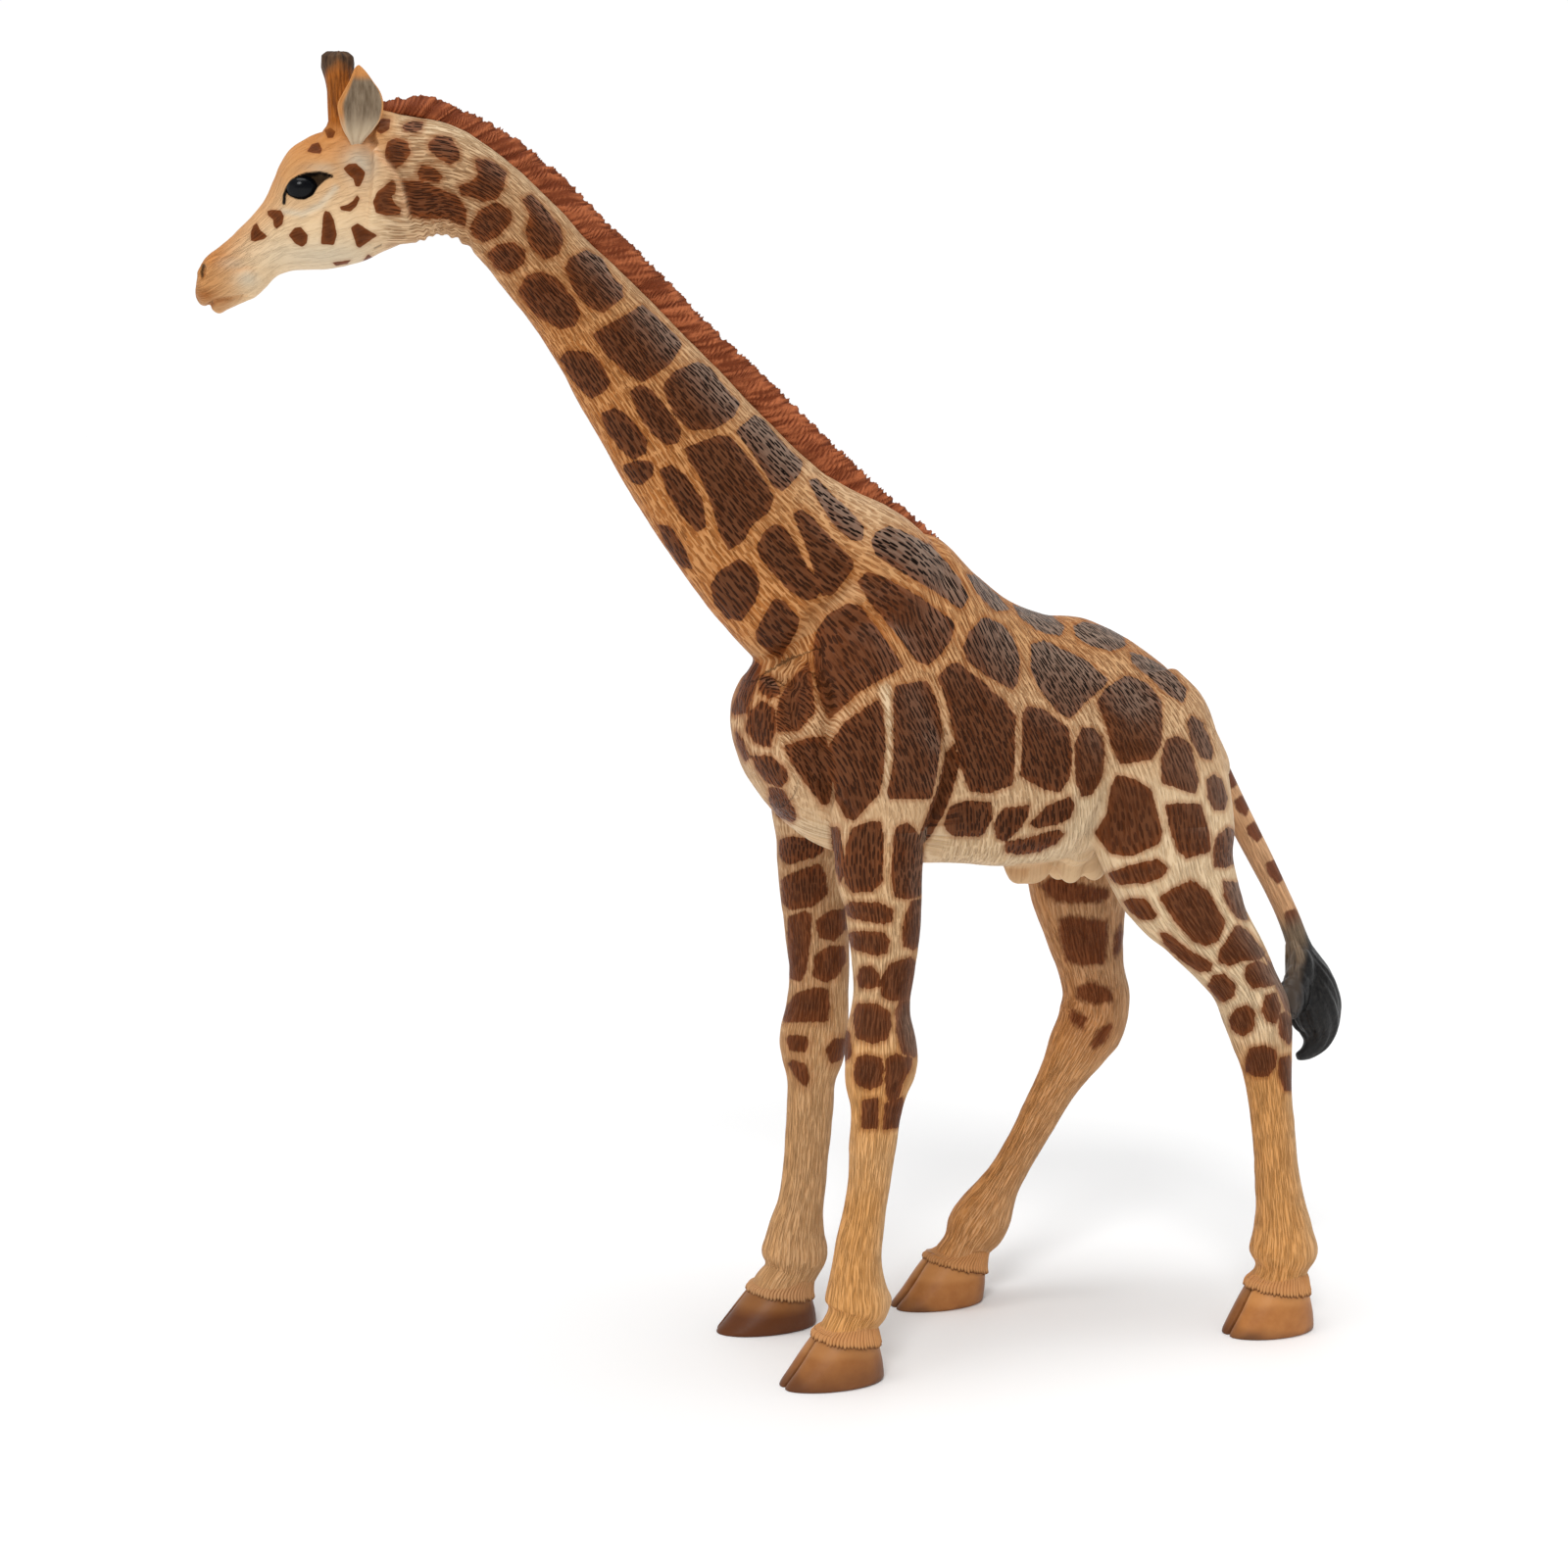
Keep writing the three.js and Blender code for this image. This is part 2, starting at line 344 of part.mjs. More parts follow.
// ---------------------------------------------------------------- scene graph
const finish = {
  coat: new THREE.MeshStandardMaterial({ color: 0xcf9a5e, roughness: 0.55, metalness: 0 }),
  leg: new THREE.MeshStandardMaterial({ color: 0xd0954f, roughness: 0.55, metalness: 0 }),
  mane: new THREE.MeshStandardMaterial({ color: 0x9a4f2a, roughness: 0.6, metalness: 0 }),
  ear: new THREE.MeshStandardMaterial({ color: 0xb88a5c, roughness: 0.6, metalness: 0 }),
  horn: new THREE.MeshStandardMaterial({ color: 0xa06a3a, roughness: 0.6, metalness: 0 }),
  eye: new THREE.MeshStandardMaterial({ color: 0x0c0c0e, roughness: 0.12, metalness: 0 }),
  tail: new THREE.MeshStandardMaterial({ color: 0x8a6a48, roughness: 0.45, metalness: 0 }),
};
const group = new THREE.Group();
const figure = new THREE.Group();
figure.position.set(-ORIGIN[0], -ORIGIN[1], -ORIGIN[2]);
group.add(figure);
for (const [name, manifold] of Object.entries(pieces)) {
  const out = manifold.getMesh();
  const geometry = new THREE.BufferGeometry();
  geometry.setAttribute("position", new THREE.BufferAttribute(new Float32Array(out.vertProperties), 3));
  geometry.setIndex(new THREE.BufferAttribute(new Uint32Array(out.triVerts), 1));
  geometry.computeVertexNormals();
  const key = name.includes("leg") ? "leg" : name.split("_")[0];
  const mesh = new THREE.Mesh(geometry, finish[key] || finish.coat);
  mesh.name = name;
  figure.add(mesh);
}
group.userData = { height: HEIGHT, length: LENGTH };

export default group;
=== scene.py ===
"""Standing toy giraffe, soft vinyl with a painted coat. Lengths in the tables are
millimetres in the figure's working frame; the finished pieces are metres in the
part's own frame. The figure looks along -X and its left side faces -Y."""

import math

import bpy
import numpy as np
from mathutils import Matrix, Vector
from mathutils.bvhtree import BVHTree
from mathutils.kdtree import KDTree


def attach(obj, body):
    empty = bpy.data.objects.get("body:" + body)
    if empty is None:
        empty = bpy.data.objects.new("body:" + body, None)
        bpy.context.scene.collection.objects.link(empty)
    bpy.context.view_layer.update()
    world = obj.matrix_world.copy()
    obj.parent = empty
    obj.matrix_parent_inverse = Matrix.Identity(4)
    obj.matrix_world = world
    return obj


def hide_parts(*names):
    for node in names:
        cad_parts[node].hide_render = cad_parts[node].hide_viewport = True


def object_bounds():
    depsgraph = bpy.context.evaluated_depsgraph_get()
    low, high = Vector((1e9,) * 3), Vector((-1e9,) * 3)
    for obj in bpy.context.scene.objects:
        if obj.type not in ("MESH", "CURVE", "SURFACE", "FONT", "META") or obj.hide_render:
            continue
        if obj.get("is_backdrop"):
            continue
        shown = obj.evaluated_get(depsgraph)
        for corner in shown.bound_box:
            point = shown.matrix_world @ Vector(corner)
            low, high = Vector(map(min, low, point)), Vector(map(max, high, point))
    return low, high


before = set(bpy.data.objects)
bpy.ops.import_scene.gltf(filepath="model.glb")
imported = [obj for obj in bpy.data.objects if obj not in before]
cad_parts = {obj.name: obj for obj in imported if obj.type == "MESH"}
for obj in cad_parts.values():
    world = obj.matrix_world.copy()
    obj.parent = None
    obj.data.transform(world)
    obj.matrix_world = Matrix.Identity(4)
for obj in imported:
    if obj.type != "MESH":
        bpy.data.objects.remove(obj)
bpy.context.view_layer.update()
scene = bpy.context.scene

# ---------------------------------------------------------------- dimensions
ORIGIN = np.array([7.96, -1.52, 0.0])
FORE_SEAM_Z = 86.0
HIND_SEAM_Z = 84.0
NECK_SEAM_AT, NECK_SEAM_DIR = np.array([11.4, 0.2, 121.7]), np.array([0.586, 0.0, -0.81])
HEAD_AT, HEAD_DIR = np.array([-47.5, 2.8, 0.0]), np.array([-0.965, 0.261, 0.0])
HEAD_SEAM_U = 10.2
VOXEL = 0.32      # skin resolution of the body
HEAD_VOXEL = 0.19
TUFT_VOXEL = 0.2
PITCH = 0.68                        # between neighbouring slits of the sculpted hair
STROKE = 2.2                        # length of a sculpted hair stroke over its width

NECK_SEAM_DIR = NECK_SEAM_DIR / np.linalg.norm(NECK_SEAM_DIR)
HEAD_DIR = HEAD_DIR / np.linalg.norm(HEAD_DIR)
HEAD_SIDE = np.array([-HEAD_DIR[1], HEAD_DIR[0], 0.0])
UP = np.array([0.0, 0.0, 1.0])

# Trunk: x, height of the back, height of the belly, half width.
TRUNK = [
  [-4.8, 105.8, 99.4, 3.0], [-3.5, 108.6, 96.0, 6.2], [-1.0, 112.2, 91.2, 9.4], [3.0, 116.2, 86.4, 12.0],
  [8.0, 120.5, 82.6, 14.0], [14.0, 125.5, 80.0, 15.2], [21.0, 130.2, 78.8, 15.8], [27.5, 130.2, 78.4, 16.0],
  [34.0, 124.7, 77.8, 16.2], [41.0, 119.8, 76.9, 16.2], [48.0, 117.2, 77.0, 16.0], [55.0, 116.4, 78.3, 15.4],
  [61.0, 114.2, 80.2, 14.6], [67.0, 110.4, 82.4, 13.6], [72.5, 105.4, 84.6, 12.0], [77.0, 99.9, 86.6, 9.6],
  [80.2, 95.0, 88.4, 6.4], [81.8, 92.4, 89.8, 2.6],
]
# Limbs: x, y, z of the section's middle, half size fore and aft, half size sideways.
FORE_LEFT = [
  [13.0, -7.0, 119.5, 6.0, 4.5], [13.2, -8.2, 114.0, 9.2, 6.2], [14.0, -9.0, 107.0, 10.8, 7.0], [14.6, -9.8, 100.0, 11.2, 7.2],
  [14.3, -10.6, 93.0, 9.8, 7.0], [13.9, -11.5, 87.5, 8.0, 6.55], [13.4, -12.0, 83.8, 7.25, 6.16], [13.3, -12.3, 79.3, 6.85, 5.96],
  [13.8, -12.6, 74.8, 6.13, 5.52], [14.0, -12.8, 70.2, 5.58, 5.13], [13.8, -13.0, 65.2, 4.88, 4.54], [13.5, -13.1, 61.1, 4.49, 4.26],
  [13.15, -13.2, 57.8, 4.62, 4.52], [13.1, -13.3, 53.5, 5.38, 5.27], [13.2, -13.3, 49.7, 5.63, 5.41], [12.7, -13.3, 47.1, 5.19, 4.93],
  [12.5, -13.3, 42.8, 4.05, 3.85], [11.9, -13.2, 37.0, 3.6, 3.42], [11.1, -13.1, 30.0, 3.3, 3.15], [10.3, -13.1, 25.0, 3.4, 3.2],
  [9.5, -13.0, 19.5, 3.75, 3.6], [9.35, -13.0, 14.5, 4.5, 4.3], [9.3, -13.0, 11.0, 5.05, 4.65], [8.2, -13.0, 8.6, 4.5, 4.35],
  [7.5, -13.0, 6.0, 4.74, 4.64],
]
FORE_RIGHT = [
  [13.0, 7.0, 119.5, 6.0, 4.5], [13.2, 8.0, 114.0, 9.2, 6.2], [13.8, 8.8, 107.0, 10.8, 7.0], [13.8, 9.6, 100.0, 10.8, 7.2],
  [13.6, 10.4, 92.0, 9.2, 6.9], [13.7, 11.2, 85.5, 7.4, 6.3], [14.0, 12.0, 82.2, 6.63, 5.8], [14.1, 13.0, 77.2, 5.97, 5.3],
  [14.7, 14.0, 70.6, 5.49, 4.94], [15.3, 14.6, 65.7, 5.25, 4.83], [15.9, 15.2, 60.2, 4.93, 4.59], [16.0, 15.4, 56.7, 4.92, 4.68],
  [15.8, 15.6, 52.1, 5.24, 5.08], [15.2, 15.8, 47.6, 5.55, 5.44], [15.1, 15.9, 43.5, 4.85, 4.66], [14.9, 15.9, 40.7, 4.05, 3.85],
  [14.7, 16.0, 36.1, 3.82, 3.62], [14.2, 16.0, 29.2, 3.66, 3.47], [13.7, 16.0, 24.6, 3.66, 3.48], [13.0, 16.0, 20.1, 3.83, 3.63],
  [12.2, 16.0, 15.5, 4.72, 4.49], [11.9, 16.0, 11.6, 5.3, 4.95], [11.2, 16.0, 8.6, 4.95, 4.75], [10.0, 16.0, 6.8, 4.95, 4.8],
  [9.3, 16.0, 5.0, 5.2, 4.9],
]
HIND_LEFT = [
  [62.4, -6.5, 107.0, 6.2, 5.0], [63.2, -8.2, 101.0, 10.4, 7.2], [63.5, -9.6, 94.5, 11.9, 7.6], [63.8, -11.0, 88.2, 12.5, 7.6],
  [64.5, -12.0, 82.0, 12.4, 7.2], [66.0, -12.8, 75.8, 10.7, 6.7], [68.5, -13.6, 70.9, 9.1, 6.0], [71.0, -14.4, 67.0, 7.5, 5.4],
  [74.4, -15.2, 62.4, 6.4, 5.1], [77.4, -16.0, 57.5, 5.65, 4.79], [79.3, -16.8, 52.6, 5.63, 4.79], [80.1, -17.4, 48.6, 5.08, 4.47],
  [80.9, -17.8, 44.0, 4.17, 3.84], [81.4, -18.1, 39.3, 3.65, 3.47], [82.2, -18.5, 32.4, 3.49, 3.32], [82.8, -18.8, 25.5, 3.66, 3.48],
  [83.35, -19.0, 20.9, 3.99, 3.79], [83.9, -19.1, 16.2, 4.9, 4.6], [84.0, -19.2, 12.8, 5.45, 5.05], [83.6, -19.2, 9.3, 4.87, 4.73],
  [82.9, -19.2, 6.8, 4.8, 4.7],
]
HIND_RIGHT = [
  [63.0, 6.5, 106.0, 6.6, 5.0], [64.0, 7.6, 99.0, 10.6, 7.0], [64.6, 8.6, 92.0, 11.9, 7.3], [64.0, 9.6, 86.0, 11.9, 7.3],
  [63.9, 11.2, 79.8, 11.0, 7.0], [63.4, 12.5, 74.2, 10.0, 6.9], [63.7, 13.5, 69.5, 8.8, 6.4], [64.9, 14.3, 64.8, 7.6, 5.9],
  [66.2, 15.0, 59.8, 6.5, 5.4], [67.5, 15.5, 54.9, 5.75, 4.95], [68.6, 15.9, 50.5, 5.85, 4.95], [68.1, 16.0, 46.4, 6.1, 5.1],
  [65.5, 16.0, 42.0, 5.3, 4.8], [61.9, 16.0, 36.6, 3.9, 3.7], [57.6, 16.0, 30.1, 3.25, 3.1], [53.4, 16.0, 23.4, 3.1, 2.95],
  [50.2, 16.0, 18.8, 3.45, 3.25], [47.0, 16.0, 13.9, 4.75, 4.4], [44.6, 16.0, 10.4, 4.8, 4.6], [42.9, 16.0, 7.4, 4.7, 4.6],
  [41.9, 16.0, 5.0, 4.8, 4.7],
]
NECK = [
  [-60.5, 3.6, 182.6, 9.6, 6.2], [-57.2, 2.9, 182.3, 9.3, 6.1], [-50.8, 2.7, 182.4, 8.1, 5.6], [-43.9, 2.7, 179.7, 6.75, 5.0],
  [-38.7, 2.6, 175.1, 6.8, 5.1], [-34.1, 2.5, 170.1, 7.1, 5.3], [-29.3, 2.3, 165.2, 7.75, 5.7], [-24.6, 2.1, 159.5, 8.75, 6.3],
  [-19.7, 1.9, 153.2, 9.85, 7.0], [-14.5, 1.6, 146.8, 11.0, 7.8], [-9.7, 1.3, 140.8, 11.95, 8.6], [-4.8, 1.0, 135.0, 12.8, 9.3],
  [0.5, 0.7, 129.5, 13.7, 10.3], [5.8, 0.4, 125.1, 15.0, 11.5], [11.2, 0.2, 121.2, 16.2, 12.8], [17.0, 0.1, 116.5, 16.0, 13.2],
  [22.0, 0.0, 111.0, 14.0, 12.5],
]
MANE = [
  [-56.6, 2.8, 192.9, 0.7], [-53.0, 2.7, 193.0, 1.1], [-47.8, 2.7, 191.4, 1.3], [-43.3, 2.7, 189.4, 1.5], [-38.6, 2.7, 186.4, 1.7],
  [-31.9, 2.6, 181.1, 1.95], [-26.7, 2.5, 176.1, 1.96], [-21.2, 2.3, 171.4, 1.97], [-15.6, 2.1, 166.3, 1.98], [-9.9, 1.9, 160.8, 2.0],
  [-3.6, 1.6, 155.2, 2.08], [2.0, 1.3, 150.1, 2.25], [7.6, 1.0, 144.7, 2.33], [13.6, 0.7, 139.6, 2.3], [19.4, 0.4, 135.4, 1.7],
  [23.6, 0.2, 132.9, 0.8],
]
# Head: distance along the nose, crown line, jaw line, half width.
HEAD = [
  [37.75, 167.8, 165.6, 0.9], [37.3, 169.3, 164.7, 2.2], [36.5, 170.8, 163.9, 3.0], [35.0, 172.2, 163.6, 3.4], [33.4, 173.4, 163.8, 3.5],
  [31.6, 175.1, 164.7, 3.45], [29.8, 176.9, 165.4, 3.6], [28.0, 179.2, 166.9, 4.1], [26.5, 182.0, 168.4, 4.7], [25.2, 185.0, 169.0, 5.3],
  [23.6, 186.8, 169.4, 5.9], [21.4, 187.8, 169.6, 6.3], [18.8, 189.0, 169.7, 6.5], [16.2, 190.4, 170.2, 6.4], [13.4, 191.6, 171.0, 6.3],
  [11.0, 192.2, 172.2, 6.2], [7.5, 192.2, 173.8, 6.0],
]
TAIL = [
  [75.6, 0.0, 98.4, 2.7, 2.5], [78.4, -0.4, 95.0, 2.5, 2.3], [81.1, -0.9, 90.4, 2.3, 2.15], [83.6, -1.9, 85.2, 2.15, 2.05],
  [85.8, -3.4, 80.0, 2.1, 2.0], [87.7, -5.0, 75.4, 2.0, 1.9], [89.5, -6.5, 70.9, 1.85, 1.8], [91.2, -7.8, 66.4, 1.85, 1.8],
  [92.6, -8.9, 61.8, 2.0, 1.95], [93.7, -9.6, 58.0, 2.7, 2.5], [94.9, -10.1, 54.0, 4.0, 3.5], [95.5, -10.4, 49.9, 4.4, 3.9],
  [94.7, -10.8, 46.4, 3.7, 3.3], [92.6, -11.2, 44.1, 2.2, 2.1], [90.6, -11.4, 43.4, 0.9, 0.9],
]

HOOVES = {
    "foreleg_left": dict(y=-13.0, top=6.8, half_top=4.8, half_sole=5.2, front=(2.6, -3.8), back=(12.4, 13.6), drop=1.5, cleft=(0.0, 1.0), shade=0.5),
    "foreleg_right": dict(y=16.1, top=5.8, half_top=4.9, half_sole=5.2, front=(4.4, -2.1), back=(14.4, 15.5), drop=1.5, cleft=(1.6, 0.4), shade=0.95),
    "hindleg_left": dict(y=-19.4, top=7.2, half_top=4.8, half_sole=5.2, front=(78.0, 72.8), back=(87.8, 89.2), drop=1.4, cleft=(0.0, 1.0), shade=0.0),
    "hindleg_right": dict(y=16.0, top=6.6, half_top=4.8, half_sole=5.1, front=(37.0, 29.8), back=(46.8, 46.6), drop=2.8, cleft=(0.0, 1.0), shade=0.12),
}
MANE_ROOT = 1.0
UNDERSIDE = [((46.3, 0.0, 76.8), (4.4, 2.5, 3.4)), ((44.6, 0.0, 75.4), (2.0, 1.7, 1.9))] + [
    (at, r) for side in (-1, 1) for at, r in (((53.0, 1.9 * side, 77.3), (2.5, 2.3, 3.9)), ((57.2, 2.1 * side, 77.5), (2.6, 2.3, 4.0)), ((52.6, 4.4 * side, 81.0), (4.4, 2.8, 4.4)))]

# Coat patches: coarse outlines (x, z) on the plane y = 0, laid on the skin along the
# straight lines from EYE_POINT, so both sides carry the same markings.
EYE_POINT = np.array([-178.964, -401.960, 148.0])
COAT_HEAD = [
    [(-68.1, 188.5), (-67.3, 188.9), (-66.5, 188.4), (-66.9, 187.5), (-67.7, 187.4)],
    [(-70.7, 185.5), (-70.0, 186.5), (-69.0, 186.8), (-68.5, 185.9), (-68.8, 185.2), (-70.0, 185.3)],
    [(-65.5, 183.3), (-64.7, 184.0), (-63.6, 184.1), (-62.3, 182.9), (-62.6, 181.9), (-63.2, 180.8), (-63.8, 180.9), (-64.1, 181.9), (-65.0, 182.6)],
    [(-66.2, 178.0), (-65.0, 178.3), (-64.2, 178.9), (-63.6, 179.7), (-63.2, 179.2), (-63.7, 178.1), (-64.6, 177.3), (-65.9, 177.5)],
    [(-61.3, 178.8), (-60.6, 180.3), (-59.5, 181.1), (-58.4, 182.0), (-57.8, 181.6), (-57.9, 180.1), (-58.5, 179.7), (-58.1, 178.7), (-57.0, 178.0), (-57.3, 177.2), (-59.2, 176.9), (-60.9, 177.3)],
    [(-76.6, 177.1), (-75.8, 177.3), (-74.6, 177.2), (-74.2, 176.5), (-74.4, 175.3), (-75.3, 174.6), (-75.7, 175.0), (-75.8, 175.9), (-76.5, 176.5)],
    [(-79.0, 174.1), (-78.6, 175.0), (-78.1, 175.4), (-77.6, 174.4), (-76.6, 173.6), (-77.1, 173.2), (-78.4, 172.8), (-79.0, 172.9)],
    [(-73.6, 173.8), (-72.7, 174.9), (-71.8, 175.0), (-70.8, 173.9), (-71.0, 172.8), (-71.7, 172.2), (-72.6, 172.6)],
    [(-68.6, 176.6), (-68.3, 177.4), (-67.6, 177.2), (-67.0, 176.1), (-66.6, 174.1), (-67.1, 172.6), (-69.0, 172.7), (-68.8, 174.6)],
    [(-64.6, 175.1), (-63.6, 175.8), (-62.6, 175.2), (-60.7, 174.1), (-62.0, 173.2), (-63.3, 172.3), (-63.8, 172.5), (-64.2, 173.9)],
    [(-67.4, 170.2), (-64.6, 170.6), (-65.2, 170.0), (-66.9, 169.7)],
    [(-63.0, 170.4), (-62.1, 171.5), (-61.2, 170.9), (-62.5, 170.2)],
]
COAT_NECK = [
    [(-60.5, 189.7), (-59.5, 190.3), (-58.7, 190.3), (-58.9, 189.1), (-59.9, 188.5), (-60.5, 188.9)],
    [(-56.6, 189.5), (-55.4, 190.1), (-53.8, 190.1), (-54.1, 189.2), (-55.4, 188.8), (-56.4, 189.1)],
    [(-58.9, 187.1), (-57.6, 187.7), (-56.1, 187.2), (-55.8, 185.7), (-56.9, 184.4), (-58.0, 183.6), (-59.1, 184.5), (-59.2, 185.7)],
    [(-52.8, 187.3), (-51.5, 188.2), (-49.6, 188.0), (-48.6, 186.5), (-48.5, 185.3), (-49.7, 184.6), (-51.5, 185.4), (-52.7, 186.4)],
    [(-54.5, 183.1), (-53.9, 184.0), (-52.3, 183.8), (-51.1, 182.7), (-51.6, 181.9), (-53.2, 182.1), (-54.2, 182.3)],
    [(-57.0, 181.7), (-54.4, 181.9), (-51.5, 180.9), (-48.8, 179.9), (-47.5, 178.0), (-47.7, 175.9), (-50.4, 176.9), (-53.3, 176.8), (-55.6, 177.2), (-56.5, 178.7)],
    [(-45.8, 185.2), (-43.7, 185.1), (-41.4, 183.6), (-41.9, 181.3), (-42.9, 179.8), (-45.0, 179.5), (-46.5, 180.1), (-48.0, 180.3), (-48.4, 181.4), (-46.7, 181.9), (-45.4, 182.9)],
    [(-46.8, 175.6), (-45.3, 178.0), (-42.9, 179.2), (-40.9, 178.2), (-40.6, 176.9), (-42.7, 174.6), (-44.8, 173.7), (-46.3, 174.5)],
    [(-44.2, 171.8), (-42.7, 173.2), (-40.3, 173.5), (-38.6, 172.5), (-38.8, 170.8), (-41.0, 169.3), (-43.1, 170.1)],
    [(-38.7, 179.8), (-37.5, 180.4), (-35.4, 178.5), (-33.3, 176.0), (-32.8, 174.0), (-33.4, 172.3), (-35.5, 171.4), (-37.6, 173.1), (-38.3, 175.3), (-37.6, 177.6)],
    [(-39.5, 166.8), (-38.3, 168.8), (-36.1, 169.4), (-34.0, 168.6), (-31.3, 165.9), (-30.2, 163.6), (-31.0, 161.9), (-33.2, 161.4), (-36.8, 163.2), (-38.6, 165.2)],
    [(-32.2, 170.1), (-31.6, 171.5), (-29.1, 172.7), (-26.7, 171.6), (-25.1, 168.8), (-23.6, 167.7), (-23.4, 166.3), (-26.4, 163.9), (-28.9, 164.8), (-31.0, 167.0)],
    [(-28.0, 160.5), (-25.8, 161.9), (-22.7, 163.4), (-20.2, 164.9), (-17.1, 162.3), (-14.0, 159.5), (-15.8, 156.6), (-18.1, 155.1), (-20.3, 153.8), (-22.8, 155.1), (-25.8, 157.6)],
    [(-33.2, 157.0), (-32.0, 158.0), (-28.9, 157.9), (-27.1, 156.5), (-25.6, 153.6), (-26.2, 152.5), (-28.4, 151.3), (-30.2, 152.7), (-32.0, 155.0)],
    [(-22.2, 152.2), (-20.6, 153.2), (-18.7, 152.2), (-15.9, 149.0), (-14.3, 146.7), (-14.6, 144.9), (-16.5, 144.4), (-18.7, 146.1), (-20.9, 149.0)],
    [(-16.9, 153.1), (-15.2, 155.1), (-11.4, 156.6), (-9.5, 155.8), (-6.6, 152.3), (-4.7, 150.5), (-5.6, 148.7), (-8.5, 146.9), (-12.7, 146.7), (-14.9, 148.7), (-16.2, 151.1)],
    [(-26.8, 149.0), (-24.7, 149.7), (-22.2, 148.1), (-19.7, 144.9), (-20.0, 143.2), (-21.9, 142.3), (-24.4, 144.4), (-26.2, 147.0)],
    [(-13.4, 143.8), (-8.6, 145.5), (-6.3, 145.5), (-3.1, 142.2), (-0.5, 138.7), (1.0, 136.3), (0.2, 134.2), (-2.8, 132.1), (-4.1, 129.8), (-6.3, 128.6), (-7.6, 130.7), (-9.2, 135.8), (-11.1, 139.9), (-12.7, 142.0)],
    [(-17.5, 140.6), (-15.8, 141.2), (-13.4, 139.6), (-10.8, 135.8), (-10.3, 132.2), (-11.5, 131.4), (-14.0, 133.8), (-16.3, 137.3)],
    [(-23.5, 141.2), (-21.0, 142.0), (-18.8, 141.7), (-18.8, 140.0), (-20.7, 138.5), (-22.2, 139.1)],
    [(-17.9, 132.4), (-16.0, 132.0), (-13.8, 128.8), (-12.5, 125.8), (-14.1, 126.1), (-16.6, 129.4)],
    [(-9.3, 123.0), (-8.0, 125.1), (-4.7, 126.9), (-2.4, 125.6), (-1.3, 123.1), (-2.1, 120.5), (-4.4, 117.7), (-6.7, 118.2), (-8.6, 120.3)],
    [(-5.0, 146.3), (-2.0, 148.7), (-0.6, 147.9), (1.7, 145.3), (3.6, 143.4), (5.8, 141.6), (5.4, 140.0), (2.6, 137.4), (1.2, 138.1), (-1.0, 141.2), (-2.7, 143.7)],
    [(7.2, 138.8), (8.3, 139.0), (10.8, 136.5), (13.4, 134.5), (16.3, 131.5), (16.0, 129.6), (14.1, 129.9), (11.2, 132.3), (8.7, 135.9)],
    [(4.5, 133.7), (5.8, 134.3), (7.6, 133.0), (10.5, 130.0), (14.5, 126.3), (14.5, 125.3), (11.2, 121.4), (9.4, 121.2), (8.3, 124.1), (6.9, 128.4), (5.4, 131.7)],
    [(-1.5, 128.9), (-0.6, 130.8), (1.1, 132.1), (2.9, 131.6), (4.7, 129.1), (6.5, 125.8), (9.1, 122.2), (8.3, 120.9), (6.2, 120.6), (3.3, 122.6), (0.4, 125.6), (-1.3, 127.6)],
    [(-1.8, 115.9), (1.2, 120.7), (2.8, 120.3), (5.3, 117.6), (4.8, 115.8), (2.2, 111.9), (0.5, 112.6), (-1.5, 114.4)],
]
